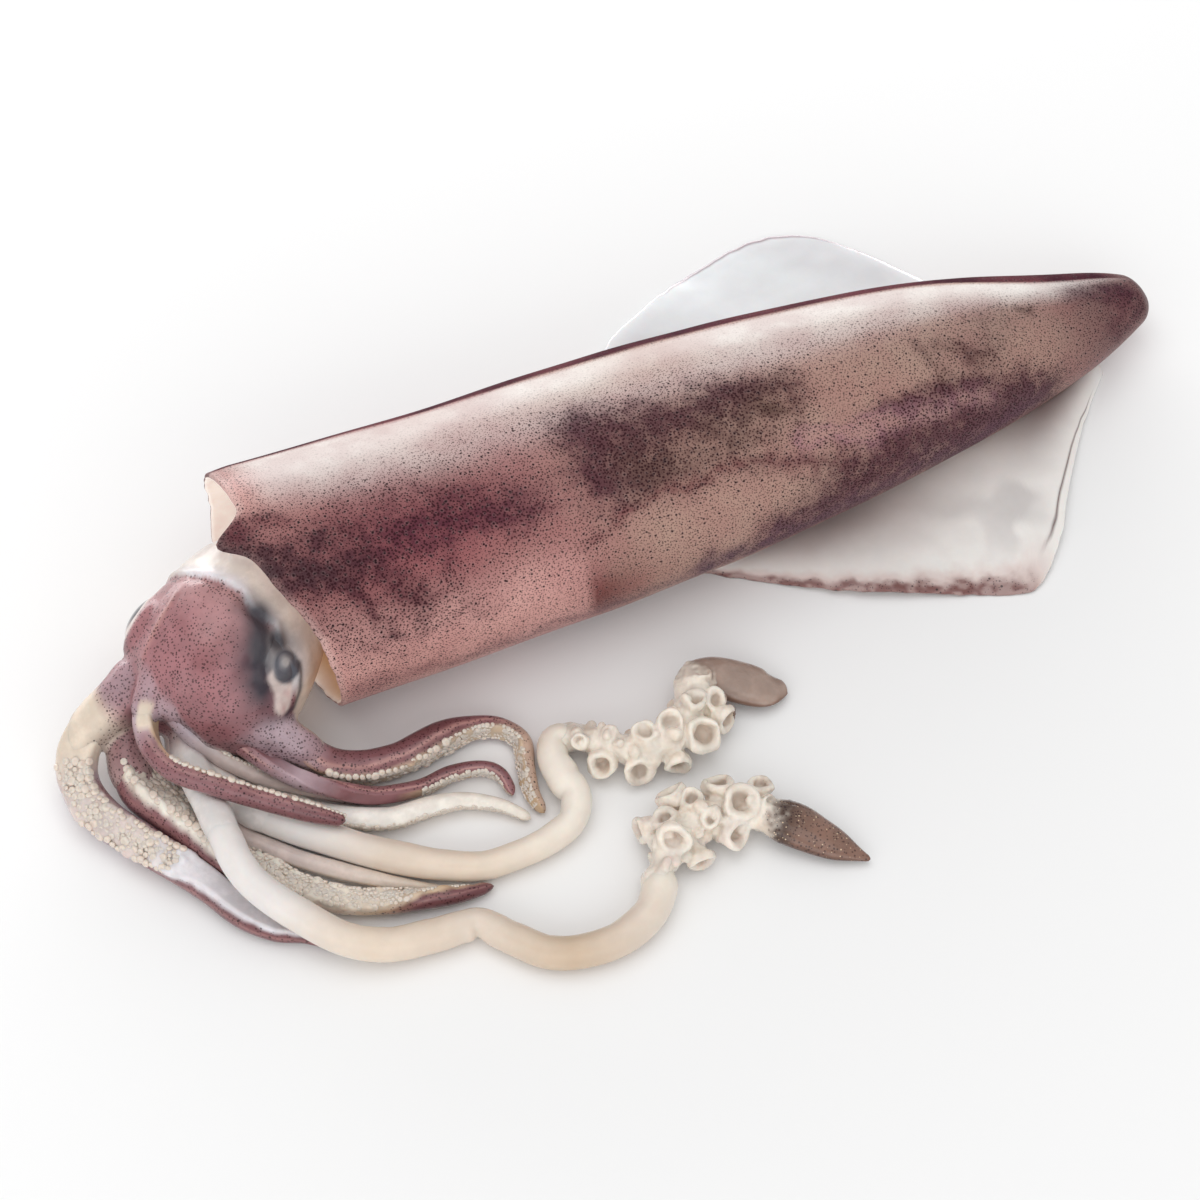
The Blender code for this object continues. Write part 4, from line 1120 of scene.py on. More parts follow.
def sucker_tree(name, material):
    """On every bed point one sucker, sized and faced as the point says."""
    tree = bpy.data.node_groups.new(name, "GeometryNodeTree")
    faces = tree.interface
    faces.new_socket("Beds", in_out="INPUT", socket_type="NodeSocketGeometry")
    faces.new_socket("Sucker", in_out="INPUT", socket_type="NodeSocketObject")
    uneven = faces.new_socket("Unevenness", in_out="INPUT", socket_type="NodeSocketFloat")
    uneven.default_value = 0.15
    seed = faces.new_socket("Seed", in_out="INPUT", socket_type="NodeSocketInt")
    seed.default_value = 3
    faces.new_socket("Suckers", in_out="OUTPUT", socket_type="NodeSocketGeometry")
    graph = Graph(tree)
    given = graph.add("NodeGroupInput").outputs
    sucker = graph.add("GeometryNodeObjectInfo", {"Object": given["Sucker"]}).outputs["Geometry"]
    facing = graph.add("GeometryNodeInputNamedAttribute", {"Name": "facing"}, data_type="FLOAT_VECTOR")
    turn = graph.add("FunctionNodeAlignRotationToVector", {"Vector": facing.outputs["Attribute"]}, axis="Z")
    size = graph.add("GeometryNodeInputNamedAttribute", {"Name": "size"}, data_type="FLOAT")
    low = graph.add("ShaderNodeMath", {0: 1.0, 1: given["Unevenness"]}, operation="SUBTRACT").outputs[0]
    high = graph.add("ShaderNodeMath", {0: 1.0, 1: given["Unevenness"]}, operation="ADD").outputs[0]
    shake = graph.add("FunctionNodeRandomValue", data_type="FLOAT_VECTOR")
    graph.feed(shake.inputs["Seed"], given["Seed"])
    for label, value in (("Min", low), ("Max", high)):
        spread = graph.add("ShaderNodeCombineXYZ", {0: value, 1: value, 2: value}).outputs[0]
        graph.feed(shake.inputs[label], spread)
    scale = graph.add("ShaderNodeVectorMath", {0: shake.outputs["Value"]}, operation="SCALE")
    graph.feed(scale.inputs["Scale"], size.outputs["Attribute"])
    set_down = graph.add("GeometryNodeInstanceOnPoints",
                         {"Points": given["Beds"], "Instance": sucker,
                          "Rotation": turn.outputs["Rotation"], "Scale": scale.outputs["Vector"]})
    real = graph.add("GeometryNodeRealizeInstances", {"Geometry": set_down.outputs["Instances"]})
    coloured = graph.add("GeometryNodeSetMaterial",
                         {"Geometry": real.outputs["Geometry"], "Material": material})
    graph.feed(graph.add("NodeGroupOutput").inputs["Suckers"], coloured.outputs["Geometry"])
    return tree


def build_suckers(name, beds, profile, sides, slot, material, seed):
    """One mesh holding a sucker for every bed: (place in mm, facing, radius in mm)."""
    mesh = bpy.data.meshes.new(name)
    mesh.from_pydata([tuple(p) for p in placed([bed[0] for bed in beds])], [], [])
    facing = mesh.attributes.new("facing", "FLOAT_VECTOR", "POINT")
    facing.data.foreach_set("vector", np.ravel([bed[1] for bed in beds]))
    size = mesh.attributes.new("size", "FLOAT", "POINT")
    size.data.foreach_set("value", [bed[2] * MM for bed in beds])
    suckers = new_object(name, mesh)
    pattern = turned_mesh(name + "_pattern", profile, sides)
    tree = sucker_tree(name, material)
    grow = suckers.modifiers.new(name, "NODES")
    grow.node_group = tree
    sockets = {item.name: item.identifier for item in tree.interface.items_tree if item.in_out == "INPUT"}
    grow[sockets["Sucker"]] = pattern
    grow[sockets["Seed"]] = seed
    baked(suckers)
    bpy.data.objects.remove(pattern, do_unlink=True)
    finish_piece(suckers, material, slot)


# ---------------------------------------------------------------- tentacles and clubs

STALK_COLOURS = {
    "tentacle_near": [(0, WHITE_FLESH), (0.35, WHITE_FLESH), (0.5, CREAM), (0.66, STALK_PALE),
                      (0.8, STALK_WARM), (0.9, STALK_PALE), (0.96, CLUB_CREAM), (1, CLUB_CREAM)],
    "tentacle_far": [(0, WHITE_FLESH), (0.32, WHITE_FLESH), (0.45, STALK_PALE), (0.6, CREAM),
                     (0.8, IVORY), (1, IVORY)],
}
# x, y, z, half width and half height along the middle of each club
CLUB_SECTIONS = {
    "club_near": [(50.5, -96.5, 4.8, 3.4, 3.4), (53, -92, 4.8, 4.2, 4.2),
                  (58, -88.6, 6, 4.6, 4.4), (63, -86.2, 6.6, 5, 4.4),
                  (68, -85.6, 6.8, 5.2, 4.4), (75, -87.6, 6.4, 5, 4.2), (81, -91, 5.6, 5.2, 3.8),
                  (86, -95, 4.6, 5.8, 3.1), (90, -100, 3.6, 5, 2.5), (94.5, -105.5, 2.6, 3.7, 1.8),
                  (98.5, -110, 1.9, 1.5, 0.8)],
    "club_far": [(47, -50, 4.6, 3, 3), (51.8, -51.5, 4.6, 4, 4),
                 (55.8, -56.2, 5.4, 4.3, 4.2), (60.6, -60.2, 6.4, 4.6, 4.4),
                 (66.6, -62.6, 7, 4.8, 4.4), (73, -61.8, 7.6, 4.9, 4.5), (78.2, -57, 7.8, 5, 4.4),
                 (82.6, -51.6, 7.4, 4.9, 4.2), (87.6, -50.8, 6.2, 5, 3.4), (93, -54.4, 4.6, 5.8, 2.6),
                 (98.5, -58.2, 3.2, 5.2, 2), (103.6, -59.2, 2, 2, 0.9)],
}
# cups on each club: middle of the mouth, the way it faces, radius
CLUB_CUPS = {
    "club_near": [((63, -76, 8), (-0.2, 0.8, 0.55), 3.4), ((52.5, -81.5, 6), (-1, 0.1, 0.1), 3.2),
                  ((57.5, -90, 11), (-0.35, -0.75, 0.6), 3.7), ((62.5, -95, 4.6), (0, -1, -0.1), 3.2),
                  ((74.5, -79, 9), (0.2, 0.55, 0.8), 3.8), ((76, -88, 11.5), (0.15, -0.5, 0.85), 4.1),
                  ((72.5, -93.5, 7), (0.4, -0.8, 0.45), 3.6), ((83.5, -83.5, 7.5), (0.25, 0.3, 0.9), 2.9),
                  ((66, -81.5, 11), (-0.1, 0.2, 1), 2.8), ((58.5, -82.5, 10), (-0.4, 0.3, 0.85), 2.9),
                  ((67.5, -88.5, 11.4), (-0.2, -0.3, 0.95), 2.5), ((82.5, -90, 8.4), (0.3, -0.6, 0.7), 2.2),
                  ((54, -87, 7.5), (-0.8, -0.3, 0.5), 2.2)],
    "club_far": [((53, -62, 6.2), (-0.3, -0.8, 0.5), 3.2), ((60.5, -67, 5.4), (-0.35, -0.85, 0.35), 3.5),
                 ((69.5, -69.5, 4.8), (-0.1, -0.98, -0.1), 3.3), ((77.5, -67, 9.5), (0.1, -0.6, 0.8), 4.1),
                 ((85.5, -64, 6.5), (0.6, -0.8, 0.1), 3.2), ((84.5, -59, 9.5), (0.3, -0.5, 0.8), 2.9),
                 ((64.5, -60.5, 11.2), (-0.2, -0.1, 0.95), 2.7), ((71, -61.5, 12), (-0.1, -0.3, 0.95), 3.0),
                 ((57.5, -56.5, 9.6), (-0.4, 0, 0.9), 2.4), ((79, -58, 12.2), (0.2, 0.1, 0.97), 2.9),
                 ((84.5, -52, 11.2), (0.2, 0.3, 0.9), 2.1), ((50.5, -55.5, 8.6), (-0.5, -0.5, 0.7), 2.0)],
}
STALK_SIDES = 40
CLUB_SIDES = 48
CLUB_VOXEL = 0.00034
CLUB_BUDS = 22
GOLDEN_ANGLE = 137.5
# share of each club's length where its bare leaf-shaped tip starts, and how far the tip draws in to a point
CLUB_LEAF_FROM = {"club_near": 0.59, "club_far": 0.65}
LEAF_POINT = {"club_near": 0.5, "club_far": 0.1}
BODY_UNDER_CUPS = 0.8           # how much slimmer the club's own body is under its cups


def build_stalk(name, route):
    """A tentacle's smooth stalk, pinched on the inside of its bends."""
    curve = evenly(through(route, 10), 0.8)
    ahead, left, upper = frames_along(curve)
    angle = np.linspace(0, 2 * math.pi, STALK_SIDES, endpoint=False)[:, None]
    radius = curve[:, 3] * (1 + 0.03 * lumps(curve[:, :3], 12.0, 1))
    radius *= 1 - 0.4 * step(len(curve) - 7, len(curve), np.arange(len(curve)))
    inner = -np.gradient(ahead, axis=0)
    bend = np.linalg.norm(inner, axis=1)
    inner /= np.maximum(bend, 1e-6)[:, None]
    around = left[:, None] * np.cos(angle) + upper[:, None] * np.sin(angle)
    inside = np.clip(-(around * inner[:, None]).sum(axis=2), 0, 1)
    pinch = inside * np.clip(bend * 1.6, 0, 0.25)[:, None]
    rows = curve[:, None, :3] + radius[:, None, None] * (1 - pinch)[..., None] * around
    rows[..., 2] = np.maximum(rows[..., 2], FLOOR_GAP)
    stalk, points = grid_object(name + "_flesh", rows)
    along = np.concatenate([np.repeat(np.linspace(0, 1, len(curve)), STALK_SIDES), [0, 1]])
    # tan low down near the table is painted shade; the faint tan clouds over the rest are the stalk's own
    # tone
    tan_and_shade = 0.4 * step(5.0, 1.0, points[:, 2]) * step(1.0, 0.9, along)
    tan_and_shade = tan_and_shade + 0.08 * step(0, 0.6, lumps(points, 12.0, 5))
    paint(stalk, "skin colour", mix(keyed(STALK_COLOURS[name], along), TAN_FLESH, tan_and_shade))
    paint(stalk, "freckled", np.zeros(len(points)))
    finish_piece(stalk, STALK_FLESH, "stalk_flesh", name)


def square_to(facing):
    """Two directions square to a facing and to each other."""
    side = np.cross(facing, (0.3, 0.2, 0.93) if abs(facing[2]) < 0.9 else (1.0, 0.0, 0.0))
    side /= np.linalg.norm(side)
    return side, np.cross(facing, side)


def set_form(name, profile, sides, place, facing, radius, squash=0.0):
    """A turned form set in its place, facing a way and squashed a little across."""
    form = turned_mesh(name, profile, sides)
    local = read_raw(form, "co") * radius
    first, second = square_to(facing)
    write_points(form, np.array(place) + local[:, :1] * first * (1 + squash)
                 + local[:, 1:2] * second * (1 - squash) + local[:, 2:] * facing)
    return form


def club_buds(name, curve, left, upper):
    """Small buds of flesh that crowd between the cups, turning by the golden angle along the club."""
    buds = []
    for i in range(CLUB_BUDS):
        k = int((0.08 + 0.5 * i / CLUB_BUDS) * (len(curve) - 1))
        turn = math.radians((i * GOLDEN_ANGLE) % 240 - 30)
        out = left[k] * math.cos(turn) + upper[k] * math.sin(turn)
        size = 1.5 + 0.7 * noise.noise(Vector((i * 2.3, 0.7, len(name))))
        place = curve[k, :3] + out * curve[k, 3] * 0.86
        if place[2] - size > 0.5:
            buds.append(set_form(f"{name}_bud_{i}", BUD_PROFILE, BUD_SIDES, place, out, size))
    return buds


def in_cups(cups, points):
    """How far each point lies in the hollow of a cup, and how far on the lip of one."""
    hollow, lip = np.zeros(len(points)), np.zeros(len(points))
    for mouth, facing, radius in cups:
        local = (points - mouth) / radius
        height = local @ facing
        out = np.linalg.norm(local - height[:, None] * facing, axis=1)
        deep = step(0.72, 0.5, out) * step(0.0, -0.45, height) * step(-1.1, -0.85, height)
        hollow = np.maximum(hollow, deep)
        lip = np.maximum(lip, bell(out, 0.88, 0.25) * bell(height, 0.05, 0.3))
    return hollow, lip


def club_colours(name, points, normals, along, leaf, hollow, lip):
    """Cream flesh with shaded cups and painted shade low down near the table, and a brown leaf painted
    lighter where it faces up and darkest where it faces down.
    """
    near = name == "club_near"
    colour = mix(all_over(CLUB_CREAM, points), TAN_FLESH, 0.25 * step(0.0, 0.6, lumps(points, 4.0, 3)))
    colour = mix(colour, LILAC, 0.22 * step(0.1, 0.6, lumps(points, 7.0, 8)) * near)
    colour = mix(colour, IVORY, 0.6 * lip)
    colour = mix(colour, CUP_HOLLOW, 0.75 * hollow)
    # painted shade on the low parts near the table
    colour = mix(colour, CUP_SHADE, 0.45 * step(6.0, 1.5, points[:, 2]))
    dark, light = LEAF_SHADED_AND_LIT_BROWNS[name]
    # painted light and shade on the leaf: lighter where it faces up, darker still where it faces down
    top = step(0.3, 0.9, normals[:, 2] + 0.3 * lumps(points, 3.0, 5))
    brown = mix(all_over(dark, points), light, top)
    brown = mix(brown, OLIVE, 0.85 * bell(along, CLUB_LEAF_FROM[name] + 0.05, 0.06) * near)
    brown = mix(brown, np.array(dark) * 0.6, 0.7 * step(0.5, -0.1, normals[:, 2]))
    return mix(colour, brown, leaf)


def build_club(name):
    """The club's body and leaf, with its cups and the small buds between them grown into one flesh."""
    curve = through(CLUB_SECTIONS[name], 12)
    left, upper = frames_along(curve)[1:]
    angle = np.linspace(0, 2 * math.pi, CLUB_SIDES, endpoint=False)
    share = np.linspace(0, 1, len(curve))
    slim = BODY_UNDER_CUPS + (1 - BODY_UNDER_CUPS) * step(0.56, 0.68, share)
    slim = slim * (1 - 0.9 * step(0.985, 1.0, share))
    slim = slim * (1 - LEAF_POINT[name] * step(0.78, 1.0, share) ** 2)
    slim = slim + (1.02 - BODY_UNDER_CUPS) * step(0.12, 0.02, share)
    rows = rings_round(curve, left, upper, curve[:, 3] * slim, curve[:, 4] * slim, angle)
    club = grid_object(name + "_flesh", rows)[0]
    cups = [(np.array(mouth), np.array(facing) / np.linalg.norm(facing), radius)
            for mouth, facing, radius in CLUB_CUPS[name]]
    forms = []
    for i, cup in enumerate(cups):
        squash = 0.13 * noise.noise(Vector((i * 1.7, 0.3, 0.8)))
        forms.append(set_form(f"{name}_cup_{i}", CUP_PROFILE, CUP_SIDES, *cup, squash))
    forms += club_buds(name, curve, left, upper)
    points, normals = grown_together(club, forms, CLUB_VOXEL, 0.5, 5)
    along = nearest_on([evenly(curve, 0.25)], points)[1]
    leaf_from = CLUB_LEAF_FROM[name]
    ragged = 0.05 * lumps(points, 3.0, 9) + 0.03 * lumps(points, 1.1, 3)
    leaf = step(leaf_from - 0.03, leaf_from + 0.07, along + ragged)
    hollow, lip = in_cups(cups, points)
    fine = 0.5 * lumps(points, 2.6, 6) + 0.2 * lumps(points, 1.1, 7)
    fine = fine * (1 - leaf) * (1 - 0.7 * lip)
    warp = np.stack([lumps(points, 5.5, 11), lumps(points, 5.5, 14), 0.6 * lumps(points, 5.5, 17)], axis=1)
    points = points + 1.1 * warp * (1 - leaf)[:, None] + normals * fine[:, None]
    points[:, 2] = np.maximum(points[:, 2], 0.1)
    write_points(club, points)
    near = name == "club_near"
    paint(club, "skin colour", club_colours(name, points, normals, along, leaf, hollow, lip))
    paint(club, "freckled", (0.75 * near) * leaf)
    finish_piece(club, NEAR_CLUB_FLESH if near else CLUB_FLESH, "club_flesh", name)


# ---------------------------------------------------------------- head and eyes

HEAD_AXIS = np.array((-0.825, -0.566, 0.0))     # from the neck to the crown of arms
HEAD_SIDE = np.array((0.566, -0.825, 0.0))      # towards the near eye
HEAD_SECTIONS = [(16, 3, 27, 10, 10), (12, 3.5, 26.8, 14, 14), (4, 4.6, 26, 17.2, 17),
                 (-3.1, 4.6, 24.6, 18.8, 18.2), (-9.7, 0.2, 23.2, 20.6, 19),
                 (-16.3, -4.5, 22, 22.2, 19), (-22.9, -9.2, 20.6, 21.8, 17.5),
                 (-28.3, -12.8, 19.4, 18.8, 14.8), (-31.8, -15, 18.4, 14.2, 11),
                 (-34, -16.6, 17.6, 8, 6)]
CREST_SIDE, CREST_ALONG = -17.9, 23.0   # where a low crest runs along the head's far side
# each eye: middle, half sizes along the head, up its side and out of it, and its tilt in degrees
NEAR_EYE = ((-9.0, -17.6, 31.0), (7.4, 6.6, 4.2), 35.0)
FAR_EYE = ((-30.0, 9.4, 25.6), (7.4, 6.4, 4.0), 165.0)
EYELID_SHARES = (1.25, 1.3, 0.84)   # the skin round each eye, as shares of the eye's own half sizes
HEAD_SIDES = 72
ROOT_SIDES = 20
HEAD_VOXEL = 0.0007
ROOT_REACH = 0.3                # share of each arm that is blended into the head
# marks on the near eye: (along the head, down its side) in mm from the eye's middle
EYE_SHADE = [(-5.0, -11.5), (-2.2, -8.6), (1.0, -6.9), (4.4, -5.0), (6.9, -1.8), (8.3, 2.0), (9.0, 6.0)]
EYE_TAIL = [(-3.0, 3.0), (-1.2, 5.8), (0.9, 8.4), (3.7, 10.4), (6.4, 10.2)]
EYE_LOBE_LINE = [(3.6, 0.6), (3.9, 3.8), (5.0, 6.0), (6.4, 7.4)]
LENS_MIDDLE = (-0.1, -0.3)
IRIS_MIDDLE = (0.2, 0.7)
ROOT_BLEND = 0.07               # how softly neighbouring roots run into each other, in their radii


def head_places(points):
    """Distance along the head's axis, to its near side, and height."""
    return points @ HEAD_AXIS, points @ HEAD_SIDE, points[:, 2]


def eye_directions(degrees):
    """The way an eye faces, by its tilt in degrees, and the direction down its side."""
    turn = math.radians(degrees)
    out = HEAD_SIDE * math.cos(turn) + np.array(UP) * math.sin(turn)
    return out, np.cross(out, HEAD_AXIS)


def root_tube(name, route):
    """Start of an arm, wide in the head and drawn in where the arm's own flesh takes over."""
    curve = through(route, 8)
    count = max(int(len(curve) * ROOT_REACH), 6)
    curve = curve[:count]
    left, upper = frames_along(curve)[1:]
    share = np.linspace(0, 1, count)
    radius = curve[:, 3] * (1.3 - 0.25 * share - 0.5 * step(0.6, 1.0, share))
    angle = np.linspace(0, 2 * math.pi, ROOT_SIDES, endpoint=False)
    return grid_object(name, rings_round(curve, left, upper, radius, radius, angle))[0]


def ellipsoid(name, centre, reaches, degrees, rings=38, sides=64):
    """Ball stretched along the head, up and out of its side, and its points in mm."""
    out, rise = eye_directions(degrees)
    around = np.linspace(0, 2 * math.pi, sides, endpoint=False)[None, :, None]
    down = np.linspace(0, math.pi, rings + 2)[1:-1][:, None, None]
    rows = (np.array(centre) + HEAD_AXIS * reaches[0] * np.sin(down) * np.cos(around)
            + rise * reaches[1] * np.sin(down) * np.sin(around) + out * reaches[2] * np.cos(down))
    return grid_object(name, rows)


def in_eye(points, eye):
    """Place of each point in mm from an eye's middle: along the head, down its side, and out of it."""
    out, rise = eye_directions(eye[2])
    local = points - np.array(eye[0])
    return local @ HEAD_AXIS, local @ rise, local @ out


def near_eye_colours(points, colour):
    """The near eye under its clear skin: a smoky shade, a lens with its ring and a painted highlight in its
    middle, and a pale lobe below.
    """
    u, v, depth = in_eye(points, NEAR_EYE)
    u = u + 0.35 * lumps(points, 2.5, 6)
    v = v + 0.35 * lumps(points, 2.5, 7)
    here = step(-7.0, -3.0, depth)
    colour = mix(colour, EYE_PALE, step(9.5, 5.5, np.hypot(u + 0.5, v)) * step(6, 3, u) * here)
    shade = bell(path_distance(u, v, EYE_SHADE), 0, 4.0) * (1.0 - 0.55 * step(0, 7, v))
    shade = np.maximum(shade, bell(np.hypot(u + 2.4, v + 4.8), 0, 4.6)) * here
    colour = mix(colour, EYE_DARK, np.clip(shade, 0, 0.95))
    lobe = step(2.9, 1.6, path_distance(u, v, EYE_LOBE_LINE)) * here
    streaked = mix(all_over(EYE_LOBE, points), FACE_PALE, step(0.0, 0.9, lumps(points, 2.2, 8)))
    colour = mix(colour, streaked, 0.92 * lobe)
    off_iris = np.hypot(u - IRIS_MIDDLE[0], v - IRIS_MIDDLE[1])
    off_lens = np.hypot(u - LENS_MIDDLE[0], v - LENS_MIDDLE[1])
    lens = step(4.6, 3.4, off_iris) * here
    iris = mix(all_over(IRIS_GREY, points), LENS_RING, step(-1.5, 3.0, v + 0.3 * u))
    iris = mix(iris, LENS_RING, 0.9 * bell(off_lens, 2.6, 0.7))
    colour = mix(colour, iris, 0.95 * lens)
    # painted highlight in the middle of the lens
    colour = mix(colour, LENS_GREY_AND_GLINT, 0.9 * step(1.6, 0.7, off_lens) * here)
    tail = 0.8 * bell(path_distance(u, v, EYE_TAIL), 0, 0.8) * here
    colour = mix(colour, EYE_DARK, tail)
    return colour, np.clip(shade + lobe + lens + tail, 0, 1)


def far_eye_colours(points, colour):
    """The far eye: a grey lens on a dark ball with a pale lid."""
    u, v, depth = in_eye(points, FAR_EYE)
    off_lens = np.hypot(u, v) + 0.4 * lumps(points, 2.5, 9)
    here = step(-5.0, -2.0, depth)
    colour = mix(colour, EYE_LOBE, step(8.0, 6.4, off_lens) * here)
    colour = mix(colour, EYE_DARK, step(5.8, 4.6, off_lens) * here)
    colour = mix(colour, LENS_GREY_AND_GLINT, step(2.2, 1.2, off_lens) * here)
    return colour, step(8.0, 6.0, off_lens) * here


def collar_edge(side, height):
    """How far along the head its pale collar reaches."""
    low_front = 4.0 * step(13, 16, side) * step(30, 22, height)
    return 10 + 2.6 * step(-4, 2, side) + 4.8 * step(6.5, 12.5, side) + low_front


def root_colours(points):
    """Colour of the roots of the arms, how far on one and past its start, and how far off the tentacles."""
    found = [nearest_on([curve], points) for curve in ROOT_CURVES.values()]
    off = np.stack([root[2] for root in found])
    weight = np.exp((off.min(axis=0) - off) / ROOT_BLEND)
    weight = weight / weight.sum(axis=0)
    own = np.zeros((len(points), 3))
    begun = np.zeros(len(points))
    for name, root, part in zip(ROOT_CURVES, found, weight):
        keys = ARM_LOOKS[name]["back"] if name in ARM_LOOKS else STALK_COLOURS[name]
        own = own + keyed(keys, root[1]) * part[:, None]
        begun = begun + part * step(0.02, 0.1, root[1])
    on_root = step(1.7, 1.3, off.min(axis=0))
    return own, on_root, begun, 1 - (weight[-1] + weight[-2]) * on_root * begun


def head_colours(points, normals):
    """Colour and freckles of the head: rosy skin, paler on top partly as a painted highlight, painted
    highlights on upturned swellings, painted shade on downturned creases, the collar, and both eyes'
    surrounds.
    """
    along, side, height = head_places(points)
    # paler on the top of the head: partly paler skin, partly a painted highlight from the light above
    colour = mix(all_over(FACE_ROSE, points), FACE_PALE, 0.45 * bell(along, 11, 7) * step(26, 38, height))
    colour = mix(colour, FACE_PALE, 0.35 * bell(along, 22, 4) * bell(side, -4, 5))
    colour = mix(colour, ROSE, 0.35 * step(-0.1, 0.5, lumps(points, 8.0, 3)))
    crest = bell(side, CREST_SIDE, 0.7) * bell(along, CREST_ALONG, 7) * step(26, 30, height)
    colour = mix(colour, CREST_PINK, 0.8 * crest)
    own, on_root, begun, skin_root = root_colours(points)
    colour = mix(colour, own, on_root * begun)
    patch = pale_patch(points)
    colour = mix(colour, CREAM, patch)
    # painted shade on skin that turns sideways or down, towards the arms
    crease = step(0.75, 0.1, normals[:, 2]) * step(14, 22, along) * skin_root
    colour = mix(colour, CREASE_SHADE_PLUM, 0.45 * crease)
    # painted highlight on upturned swellings over the arms' roots
    lit_swelling = bell(normals[:, 2], 1.0, 0.35) * on_root * skin_root
    lit_swelling = lit_swelling * step(24, 30, along) * step(14, 20, height)
    colour = mix(colour, BULGE_HIGHLIGHT_GREY, 0.55 * lit_swelling * step(0.62, 0.45, colour.max(axis=1)))
    edge = collar_edge(side, height) + 0.5 * lumps(points, 3.0, 4) + 0.4 * lumps(points, 1.2, 5)
    past = along - edge
    collar = step(0.5, -0.5, past)
    pale = mix(all_over(COLLAR_CREAM, points), BLUE_WHITE, bell(past, -0.5, 2.6) * step(34, 40, height))
    pale = mix(pale, IVORY, 0.35 * bell(past, -4.5, 1.6))
    colour = mix(colour, pale, collar)
    colour = mix(colour, TAN_FLESH, 0.6 * collar * step(32, 20, height))
    colour, near_eye = near_eye_colours(points, colour)
    colour, far_eye = far_eye_colours(points, colour)
    colour = mix(colour, PALE_GREY_PINK, 0.5 * step(16, 6, height) * skin_root)
    by_eye = step(10.0, 7.5, np.linalg.norm(points - np.array(NEAR_EYE[0]), axis=1))
    bare = (1 - patch) * (1 - by_eye) * (1 - collar) * (1 - near_eye) * (1 - far_eye)
    rim_dots = 1.6 * bell(past, 0.8, 1.2) * step(20, 30, height)
    dotted = 0.35 + 0.5 * step(12, 27, along) + rim_dots
    return colour, step(0.5, 0.3, colour.min(axis=1)) * bare * dotted


def build_head():
    """The head with the roots of all its arms and its eyelids, grown into one skin."""
    sections = through(HEAD_SECTIONS, 6)
    angle = np.linspace(0, 2 * math.pi, HEAD_SIDES, endpoint=False)
    rows = rings_round(sections, HEAD_SIDE[None], np.array(UP)[None], sections[:, 3], sections[:, 4], angle)
    head = grid_object("head_flesh", rows)[0]
    others = [root_tube(name + "_root", route) for name, route in LIMB_ROUTES.items()]
    for name, (centre, reaches, degrees) in (("near", NEAR_EYE), ("far", FAR_EYE)):
        lid = np.array(reaches) * EYELID_SHARES
        others.append(ellipsoid(name + "_lid", centre, lid, degrees)[0])
    points, normals = grown_together(head, others, HEAD_VOXEL, 0.6, 10)
    along, side, height = head_places(points)
    ridge = 0.5 * bell(side, CREST_SIDE, 1.0) * bell(along, CREST_ALONG, 8) * step(26, 30, height)
    past = along - collar_edge(side, height)
    fold = (0.5 * bell(past, -1.2, 1.0) - 0.5 * bell(past, 0.8, 0.9)) * step(24, 34, height)
    swell = 0.35 * lumps(points, 9.0, 2) + 0.12 * lumps(points, 3.0, 6)
    points = points + normals * (ridge + fold + swell)[:, None]
    points[:, 2] = np.maximum(points[:, 2], 0.1)
    write_points(head, points)
    colour, freckled = head_colours(points, normals)
    paint(head, "skin colour", colour)
    paint(head, "freckled", freckled)
    finish_piece(head, HEAD_FLESH, "head_skin", "head")


def build_eye(name, eye, colours):
    ball, points = ellipsoid(name + "_ball", *eye)
    colour = colours(points, all_over(FACE_ROSE, points))[0]
    paint(ball, "skin colour", colour)
    paint(ball, "freckled", np.zeros(len(points)))
    finish_piece(ball, EYE_GLASS, "eye", name)


# ---------------------------------------------------------------- the table, the light and the camera

CAMERA_TURN = -26.373           # degrees round the squid from straight in front
CAMERA_RISE = 55.0              # degrees above the table
CAMERA_REACH = 788.55
CAMERA_TARGET = (69.3, -28.0, 20.0)
LENS = 100.0
SENSOR = 36.0
TABLE_HALF = 4.0                # metres
PAPER = 0.9                     # brightness of the table
ROOM_LIGHT = 0.58
# softboxes: name, place, size, what they point at, power
SOFTBOXES = [("overhead softbox", (-0.1, 0.0, 1.4), (1.6, 1.3), (0, 0, 0), 7.0),
             ("window behind", (0.2, 0.95, 0.17), (1.7, 0.34), (0, 0, 0.03), 10.0),
             ("front fill", (-0.3, -1.2, 0.7), (1.2, 0.8), (0, 0, 0.02), 4.0),
             ("left fill", (-1.0, -0.45, 0.5), (0.9, 0.7), (-0.1, 0, 0.03), 2.2)]


def add_camera():
    camera = new_object("camera", bpy.data.cameras.new("camera"))
    camera.data.lens = LENS
    camera.data.sensor_width = SENSOR
    camera.data.clip_start = 0.01
    camera.data.clip_end = 20.0
    turn, rise = math.radians(CAMERA_TURN), math.radians(CAMERA_RISE)
    back = Vector((math.sin(turn) * math.cos(rise), -math.cos(turn) * math.cos(rise), math.sin(rise)))
    target = Vector(placed(CAMERA_TARGET)[0])
    camera.location = target + back * CAMERA_REACH * MM
    camera.rotation_euler = (-back).to_track_quat("-Z", "Y").to_euler()
    bpy.context.scene.camera = camera


def add_softbox(name, place, size, target, power):
    light = bpy.data.lights.new(name, "AREA")
    light.shape = "RECTANGLE"
    light.size, light.size_y = size
    light.energy = power
    lamp = new_object(name, light)
    lamp.location = place
    lamp.rotation_euler = (Vector(target) - Vector(place)).to_track_quat("-Z", "Y").to_euler()


